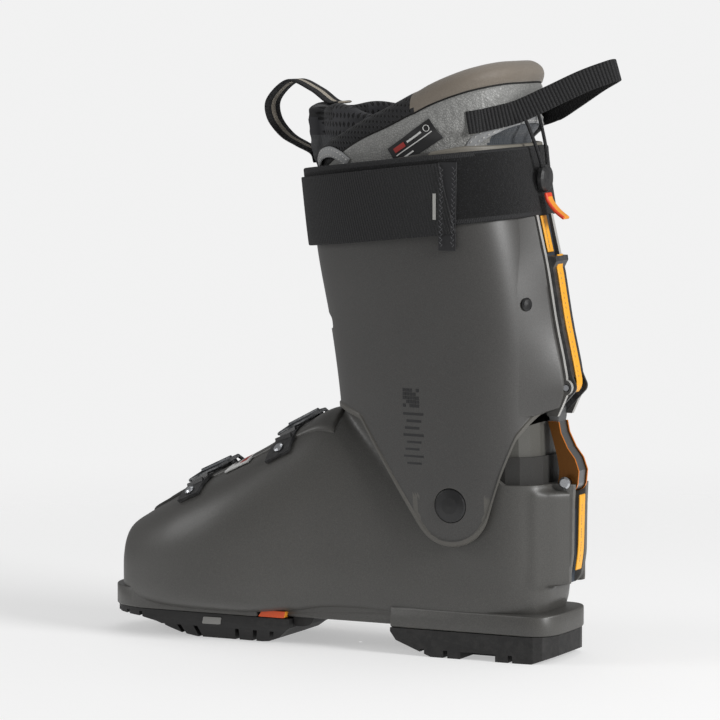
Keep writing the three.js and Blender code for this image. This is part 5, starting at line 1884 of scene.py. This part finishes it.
@dataclass
class Tongue:
    """The liner's tongue, with its mesh, smooth face and knit roll."""

    top: float = 342.0
    thick: float = 7.0
    inset: float = 9.8
    half_angle: float = 72.0

    def build(self) -> None:
        """The padded tongue."""
        angles = np.linspace(-self.half_angle, self.half_angle, 130)
        low = np.full(len(angles), 150.0) + 45 * smooth_step(np.abs(angles), 24, 72)
        high = self.top - 5 * smooth_step(np.abs(angles), 50, 72) + 1.2 * np.cos(np.radians(angles * 9))

        def outer(angle: Array, z: Array) -> Array:
            """Offset of the outer face: the front pad comes forward between the collar's edges.

            Args:
                angle: angles of the points.
                z: heights of the points.

            Returns:
                The offsets.
            """
            ahead = smooth_step(z, 268, 278) * (1 - smooth_step(np.abs(angle), 19.5, 21.5))
            rows = 0.4 * np.cos(z * 2 * math.pi / 8.0) * np.cos(np.radians(angle * 12))
            quilt = rows * smooth_step(z, 300, 312)
            return -self.inset + 9.2 * ahead + quilt

        body = wall("tongue_pad", LINER, angles, low, high, -self.inset - self.thick, outer, rows=100,
                    reach=3.2, closed=False, turns=6)

        def pick(x: float, y: float, z: float) -> int:
            """Mesh on the upper face, smooth below, lining inside.

            Args:
                x: X of the face.
                y: Y of the face.
                z: Z of the face.

            Returns:
                The number of the material.
            """
            if z > 333 and x > 100:
                return 2
            if z > 322 or x < 96:
                return 0
            return 1 if x > 104 else 3

        zones(body, [HONEYCOMB.material(), TONGUE_GREY.material(), KNIT.material(), LINING.material()], pick)
        placed(body, Body.CUFF, "fabric", "liner_tongue")


@dataclass
class LinerFoot:
    """The liner's sock inside the hard foot."""

    gap: float = 5.7
    thick: float = 5.0
    ankle_cut: tuple = ((-90, 99), (-8, 99), (4, 125.5), (40, 135.5), (92, 147.5), (92, 260), (-90, 260))

    def build(self) -> None:
        """The sock, open at the ankle."""
        outside = foot_body("sock", self.gap, 64, 90)
        boolean(outside, neck_body("sock_neck", 40, 150, -self.gap, 64, 24), "UNION")
        inside = foot_body("sock_inside", self.gap + self.thick, 64, 90)
        boolean(inside, neck_body("sock_inside_neck", 46, 170, -self.gap - self.thick, 64, 24), "UNION")
        boolean(inside, through("insole", [(-100, 0), (300, 0), (300, 42.3), (-100, 42.3)]))
        boolean(outside, inside)
        boolean(outside, through("ankle_cut", self.ankle_cut))
        boolean(outside, through("under", [(-100, 0), (300, 0), (300, 36.3), (-100, 36.3)]))
        boolean(outside, through("front_cut", [(93, 120), (300, 120), (300, 300), (93, 300)]))
        outside.name = "liner_sock"
        crease(outside, 40)
        dress(outside, LINER_FELT)
        placed(outside, Body.BOOT, "fabric", "liner_foot")


# ------------------------------------------------------------------ straps, loops and the lace
@dataclass
class PowerStrap:
    """The wide strap round the cuff's top, with its webbing and sewn tab."""

    height: float = 43.0
    base: float = 288.8
    slope: float = 0.11
    drop: float = 5.5
    strap_faces: Pair = (0.35, 3.4)
    web_faces: Pair = (3.7, 5.3)
    web_ends: Pair = (9.0, 63.4)
    tab_corners: tuple = (4.2, 14.4, -38.0, 16.0)
    stitch_count: int = 30
    stitch_low: float = -35.5
    stitch_run: float = 49.0

    def middle(self, x: Array) -> Array:
        """Height of the strap's middle over X."""
        return self.base - self.slope * (np.asarray(x, float) - 45)

    def band(self, name: str, angles: Array, inner: float, outer: float, closed: bool,
             drop: float = 0.0) -> Piece:
        """A band on the cuff along the strap's own line.

        Args:
            name: name of the piece.
            angles: angles of the columns.
            inner: offset of the inner face.
            outer: offset of the outer face.
            closed: the band runs all the way round.
            drop: how far below the strap's own line.

        Returns:
            The piece.
        """
        mid = meet(CUFF, angles, lambda x: self.middle(x) - drop, 240, 330, inner)
        return wall(name, CUFF, angles, mid - self.height / 2, mid + self.height / 2, inner,
                    lambda a, z: np.full(a.shape, outer), rows=26,
                    reach=(outer - inner) / 2, closed=closed, turns=3)

    def angle_at(self, x: float, side: int) -> float:
        """Angle where the strap's face reaches an X on the inner (1) or outer (-1) side.

        Args:
            x: X to reach.
            side: 1 for the inner side, -1 for the outer one.

        Returns:
            The angle in degrees.
        """
        trial = np.linspace(1, 179, 1200)
        xs = level_point(CUFF, float(self.middle(x)), trial, self.web_faces[0])[:, 0]
        return side * float(np.interp(-x, -xs, trial))

    def build(self) -> None:
        """The fuzzy strap, the ribbed webbing and the tab."""
        strap = self.band("power_strap_pile", full_turn(320), *self.strap_faces, True)
        zones(strap, [STRAP_PILE.material(), BINDING.material()],
              lambda x, y, z: 1 if abs(z - float(self.middle(x))) > self.height / 2 - 2.2 else 0)
        placed(strap, Body.CUFF, "fabric", "power_strap")
        turns = np.linspace(self.angle_at(self.web_ends[0], 1), self.angle_at(self.web_ends[1], -1), 240)
        web = self.band("strap_webbing", turns, *self.web_faces, False, self.drop)
        finished(web, WEBBING, Body.CUFF, "web", "strap_web")
        tab = patch("strap_tab_plate", self.tab_place, self.tab_corners, 2.9, (16, 40), 1.0, 0.2)
        finished(tab, TAB_BLACK, Body.CUFF, "black", "strap_tab")
        on_web = partial(self.tab_place, lift=5.2)
        tick = patch("strap_size_tick", on_web, (15.6, 17.4, -19.0, -3.0), 0.9, (4, 12), 0.4, 0.2)
        finished(tick, PRINT_GREY, Body.CUFF, "web")
        self.stitches()

    def tab_place(self, u: Array, v: Array, lift: float = 3.9) -> Array:
        """A point on the webbing from X and the height above the strap's middle."""
        return side_point(CUFF, u, self.middle(4.0) + v, 1, lift)

    def stitches(self) -> None:
        """Zigzag rows down the tab's sides."""
        for label, x0 in (("front", 12.6), ("rear", 6.0)):
            marks = []
            for i in range(self.stitch_count):
                v = np.array(self.stitch_low + self.stitch_run * (i + 0.5) / self.stitch_count)
                x = np.array(x0 + (0.45 if i % 2 else -0.45))
                place = Vector(self.tab_place(x, v, 6.75).tolist())
                marks.append((place, Vector((0.8 if i % 2 else -0.8, 0.0, 1.0))))
            made = beads(f"tab_stitches_{label}", marks, 2.1, 0.3)
            finished(made, THREAD_DARK, Body.CUFF, "fabric")


@dataclass
class Loops:
    """The pull loops, the lace with its lock, and the small orange tab."""

    @staticmethod
    def upright(line: Array) -> Array:
        """The webbing stands on edge, and leans once it is clear of the collar."""
        x = line[:, 0]
        return np.stack([np.where(x < -25, 0.3, -0.06), 0 * x, 1 + 0 * x], axis=1)

    def rear_loop(self) -> None:
        """The rear pull loop, sewn to the collar on both sides."""
        sewn = [level_point(LINER, z, a, 1.3).tolist() for z, a in ((333, 124), (334, 131), (335, 138))]
        free = [(-26, 32, 339.5), (-43, 23.5, 348), (-62, 14, 358), (-76, 5, 364), (-79, 0, 365)]
        half = [*sewn, *free]
        path = half + [(x, -y, z) for x, y, z in reversed(half[:-1])]
        made = ribbon("rear_pull_loop_web", path, self.upright, 14.0, 1.6, 150, 10)
        finished(made, LOOP_WEB, Body.CUFF, "web", "rear_pull_loop")

    def tongue_loop(self) -> None:
        """The loop at the tongue's top, with a pale stripe woven along its middle."""
        fronts = [(float(LINER.at("front", z)) + 1.3, 0, z) for z in (311.0, 305.0)]
        path = [(106, 0, 343.2), (114, 0, 343.2), (126, 0, 351), (142, 0, 356.5), (156, 0, 345),
                (156, 0, 333), (147, 0, 322), (136, 0, 316), *fronts]
        made = ribbon("tongue_pull_loop_web", path, straight_across, 20.0, 1.6, 120, 20)
        zones(made, [TWILL.material(), STRIPE.material()], lambda x, y, z: 1 if abs(y) < 2.6 else 0)
        placed(made, Body.CUFF, "web", "tongue_pull_loop")

    def lace(self) -> None:
        """The lace through the lock and the small tab under it."""
        path = [(-23.5, 15, 337), (-26.5, 12, 328), (-29.5, 8, 316), (-31.5, 4, 304), (-31.5, 2.6, 295),
                (-31.5, 0, 292), (-31.5, -2.6, 295), (-31.5, -4, 304), (-29.5, -6, 316), (-26.5, -7, 328),
                (-23.5, -8, 337)]
        cord = tube("lace_cord", path, 1.1, 12, 120)
        finished(cord, CORD_BLACK, Body.CUFF, "black", "liner_lace")
        tab = ribbon("lace_end_tab", [(-33.4, 0, 289.1), (-35, 0, 284), (-40, 0, 278), (-46, 0, 273.5)],
                     straight_across, 9.0, 2.2, 40, 12)
        zones(tab, [TAB_ORANGE.material(), TAB_RED.material()],
              lambda x, y, z: 1 if abs(y) > 3.2 or z > 287 else 0)
        placed(tab, Body.CUFF, "orange", "lace_tab")

    def build(self) -> None:
        """All the loops and the lace."""
        self.rear_loop()
        self.tongue_loop()
        self.lace()


# ------------------------------------------------------------------ carried-over solids
@dataclass(frozen=True)
class Dressing:
    """How one carried-over solid is finished: its look and the width of its rounded edges."""

    finish: Finish
    edge: float = 0.4
    segments: int = 2


@dataclass
class Hardware:
    """The hard pieces that keep their CAD shape and get rounded edges and a finish."""

    looks: dict[str, Dressing] = field(default_factory=lambda: {
        "cuff_spine": Dressing(SPINE_GREY, 0.7, 3), "heel_lever": Dressing(LEVER_BLACK, 0.7, 3),
        "link_bar": Dressing(LINK_STEEL, 0.5), "link_top_pin": Dressing(STEEL, 0.3),
        "link_lower_pin": Dressing(STEEL, 0.4), "heel_sole": Dressing(RUBBER, 0.8),
        "boot_board": Dressing(BOARD_GREY, 0.6), "heel_gasket": Dressing(GASKET, 0.4),
        "heel_spoiler": Dressing(SPOILER_GREY, 0.5), "cuff_plug": Dressing(CAP_BLACK, 0.3),
        "strap_ring": Dressing(BUCKLE_BLACK, 0.5), "lace_lock": Dressing(BUCKLE_BLACK, 0.5),
        **{f"{part}_{side}": look for side in ("inner", "outer") for part, look in (
            ("link_plate", Dressing(BRONZE_PAINTED_SHADE, 0.35)), ("lever_pin", Dressing(STEEL, 0.3)),
            ("toe_screw", Dressing(STEEL, 0.2)), ("pivot_cap", Dressing(CAP_BLACK, 0.4)))},
        **{f"heel_screw_{end}": Dressing(STEEL, 0.2) for end in ("front", "rear")},
        **{f"{buckle}_{part}": look for buckle in ("toe", "instep") for part, look in (
            ("buckle_base", Dressing(BUCKLE_BLACK, 0.5)), ("buckle_lever", Dressing(LEVER_BLACK, 0.5, 3)),
            ("ladder", Dressing(BUCKLE_BLACK)), ("bail", Dressing(ARM_METAL, 0.2)),
            ("base_rivet", Dressing(STEEL, 0.3)), ("ladder_rivet", Dressing(STEEL, 0.3)))}})

    def build(self) -> None:
        """Dresses every carried-over solid that is still shown."""
        for name, look in self.looks.items():
            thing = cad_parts[name]
            dress(thing, look.finish)
            bevel(thing, look.edge, look.segments, 35)
            LOG.info("%s: %s", name, look.finish.name)
        self.two_tone("cuff_spine", (SPINE_DARK, CUFF_PLASTIC),
                      lambda c, n: 1 if abs(c.y) < 9.5 * MM else 2 * (abs(n.y) > 0.8))
        # the link plates' edges take bright bronze as a painted highlight; their flat sides keep the darker
        # bronze as painted shade
        for name in ("link_plate_inner", "link_plate_outer"):
            self.two_tone(name, (BRONZE_PAINTED_HIGHLIGHT,), lambda c, n: int(abs(n.y) < 0.8))

    @staticmethod
    def two_tone(name: str, more: Sequence[Finish], pick: Callable[[Vector, Vector], int]) -> None:
        """Gives some faces of a carried-over solid another finish, by their centre and direction.

        Args:
            name: name of the solid.
            more: the other finishes.
            pick: the number of the finish from a centre and a direction.
        """
        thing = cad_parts[name]
        for finish in more:
            thing.data.materials.append(finish.material())
        for polygon in thing.data.polygons:
            polygon.material_index = pick(polygon.center, polygon.normal)


# ------------------------------------------------------------------ studio
@dataclass
class Studio:
    """The camera, lights and pale backdrop."""

    lens: float = 205.4
    place: tuple[float, float, float] = (-1039.5, 2327.0, 420.3)
    target: tuple[float, float, float] = (95.44, 0.0, 180.17)
    backdrop: float = 0.885
    ambient: float = 0.27
    glow: float = 0.42

    def camera(self) -> None:
        """The camera, level and a little above the boot."""
        data = bpy.data.cameras.new("camera")
        data.lens = self.lens
        data.sensor_width = 36.0
        data.clip_end = 100.0
        made = bpy.data.objects.new("camera", data)
        bpy.context.scene.collection.objects.link(made)
        made.location = Vector(self.place) * MM
        made.rotation_euler = (Vector(self.target) - Vector(self.place)).to_track_quat("-Z", "Y").to_euler()
        bpy.context.scene.camera = made

    def light(self, name: str, place: Point, size: float, power: float) -> None:
        """A large soft lamp that looks at the boot.

        Args:
            name: name of the lamp.
            place: where it stands, in metres.
            size: its diameter in metres.
            power: its power in watts.
        """
        data = bpy.data.lights.new(name, "AREA")
        data.shape = "DISK"
        data.size = size
        data.energy = power
        made = bpy.data.objects.new(name, data)
        bpy.context.scene.collection.objects.link(made)
        made.location = Vector(place)
        made.rotation_euler = (Vector((0.09, 0, 0.17)) - Vector(place)).to_track_quat("-Z", "Y").to_euler()

    def floor_material(self) -> Material:
        """Pale matt floor that fades out far from the boot.

        Returns:
            The material.
        """
        made = bpy.data.materials.new("floor_paint")
        made.use_nodes = True
        made.node_tree.nodes.clear()
        n = Nodes(made.node_tree)
        place = n.add("ShaderNodeTexCoord").outputs["Object"]
        far = n.add("ShaderNodeVectorMath", {0: place}, operation="LENGTH").outputs["Value"]
        paint = n.mix(n.noise(place, 3.0), (0.6, 0.6, 0.6), (0.61, 0.61, 0.61))
        shader = n.add("ShaderNodeBsdfPrincipled", {
            "Base Color": paint, "Roughness": 0.9, "Specular IOR Level": 0.1, "Emission Strength": self.glow,
            "Emission Color": (1.0, 1.0, 1.0),
            "Alpha": n.math("SUBTRACT", 1.0, n.ramp(far, 0.35, 1.1))})
        n.add("ShaderNodeOutputMaterial", {"Surface": shader.outputs[0]})
        return made

    def build(self) -> None:
        """Backdrop, lamps and world."""
        turn = np.radians(full_turn(96))
        rings = [np.stack([95 + r * np.cos(turn), r * np.sin(turn), 0 * turn - 0.1], axis=1)
                 for r in (1, 900, 1500, 2600)]
        floor = mesh_object("studio_floor", np.vstack(rings), ring_faces(4, 96, capped=False), smooth=False)
        for polygon in floor.data.polygons:
            if polygon.normal.z < 0:
                polygon.flip()
        floor.data.materials.append(self.floor_material())
        self.light("key", (-2.5, 0.45, 1.2), 1.1, 66)
        self.light("front", (2.2, 1.2, 1.0), 1.2, 16)
        self.light("top", (0.0, -0.4, 2.5), 1.6, 9)
        world = bpy.data.worlds.new("studio_world")
        world.use_nodes = True
        world.node_tree.nodes.clear()
        n = Nodes(world.node_tree)
        seen = n.add("ShaderNodeBackground", {"Color": (1.0, 1.0, 1.0), "Strength": self.backdrop})
        lit = n.add("ShaderNodeBackground", {"Color": (1.0, 1.0, 1.0), "Strength": self.ambient})
        direct = n.add("ShaderNodeLightPath").outputs["Is Camera Ray"]
        both = n.add("ShaderNodeMixShader", {0: direct, 1: lit.outputs[0], 2: seen.outputs[0]})
        n.add("ShaderNodeOutputWorld", {0: both.outputs[0]})
        bpy.context.scene.world = world
        bpy.context.scene.view_settings.view_transform = "Standard"


def main() -> None:
    """Builds the boot piece by piece."""
    logging.basicConfig(level=logging.INFO, format="%(name)s %(message)s")
    studio = Studio()
    studio.camera()
    for part in (LowerShell(), CuffShell(), Spine(), Soles(), Marks(), Collar(), Tongue(), LinerFoot(),
                 PowerStrap(), Loops(), Hardware(), studio):
        LOG.info("building %s", type(part).__name__)
        part.build()


if __name__ == "__main__":
    main()
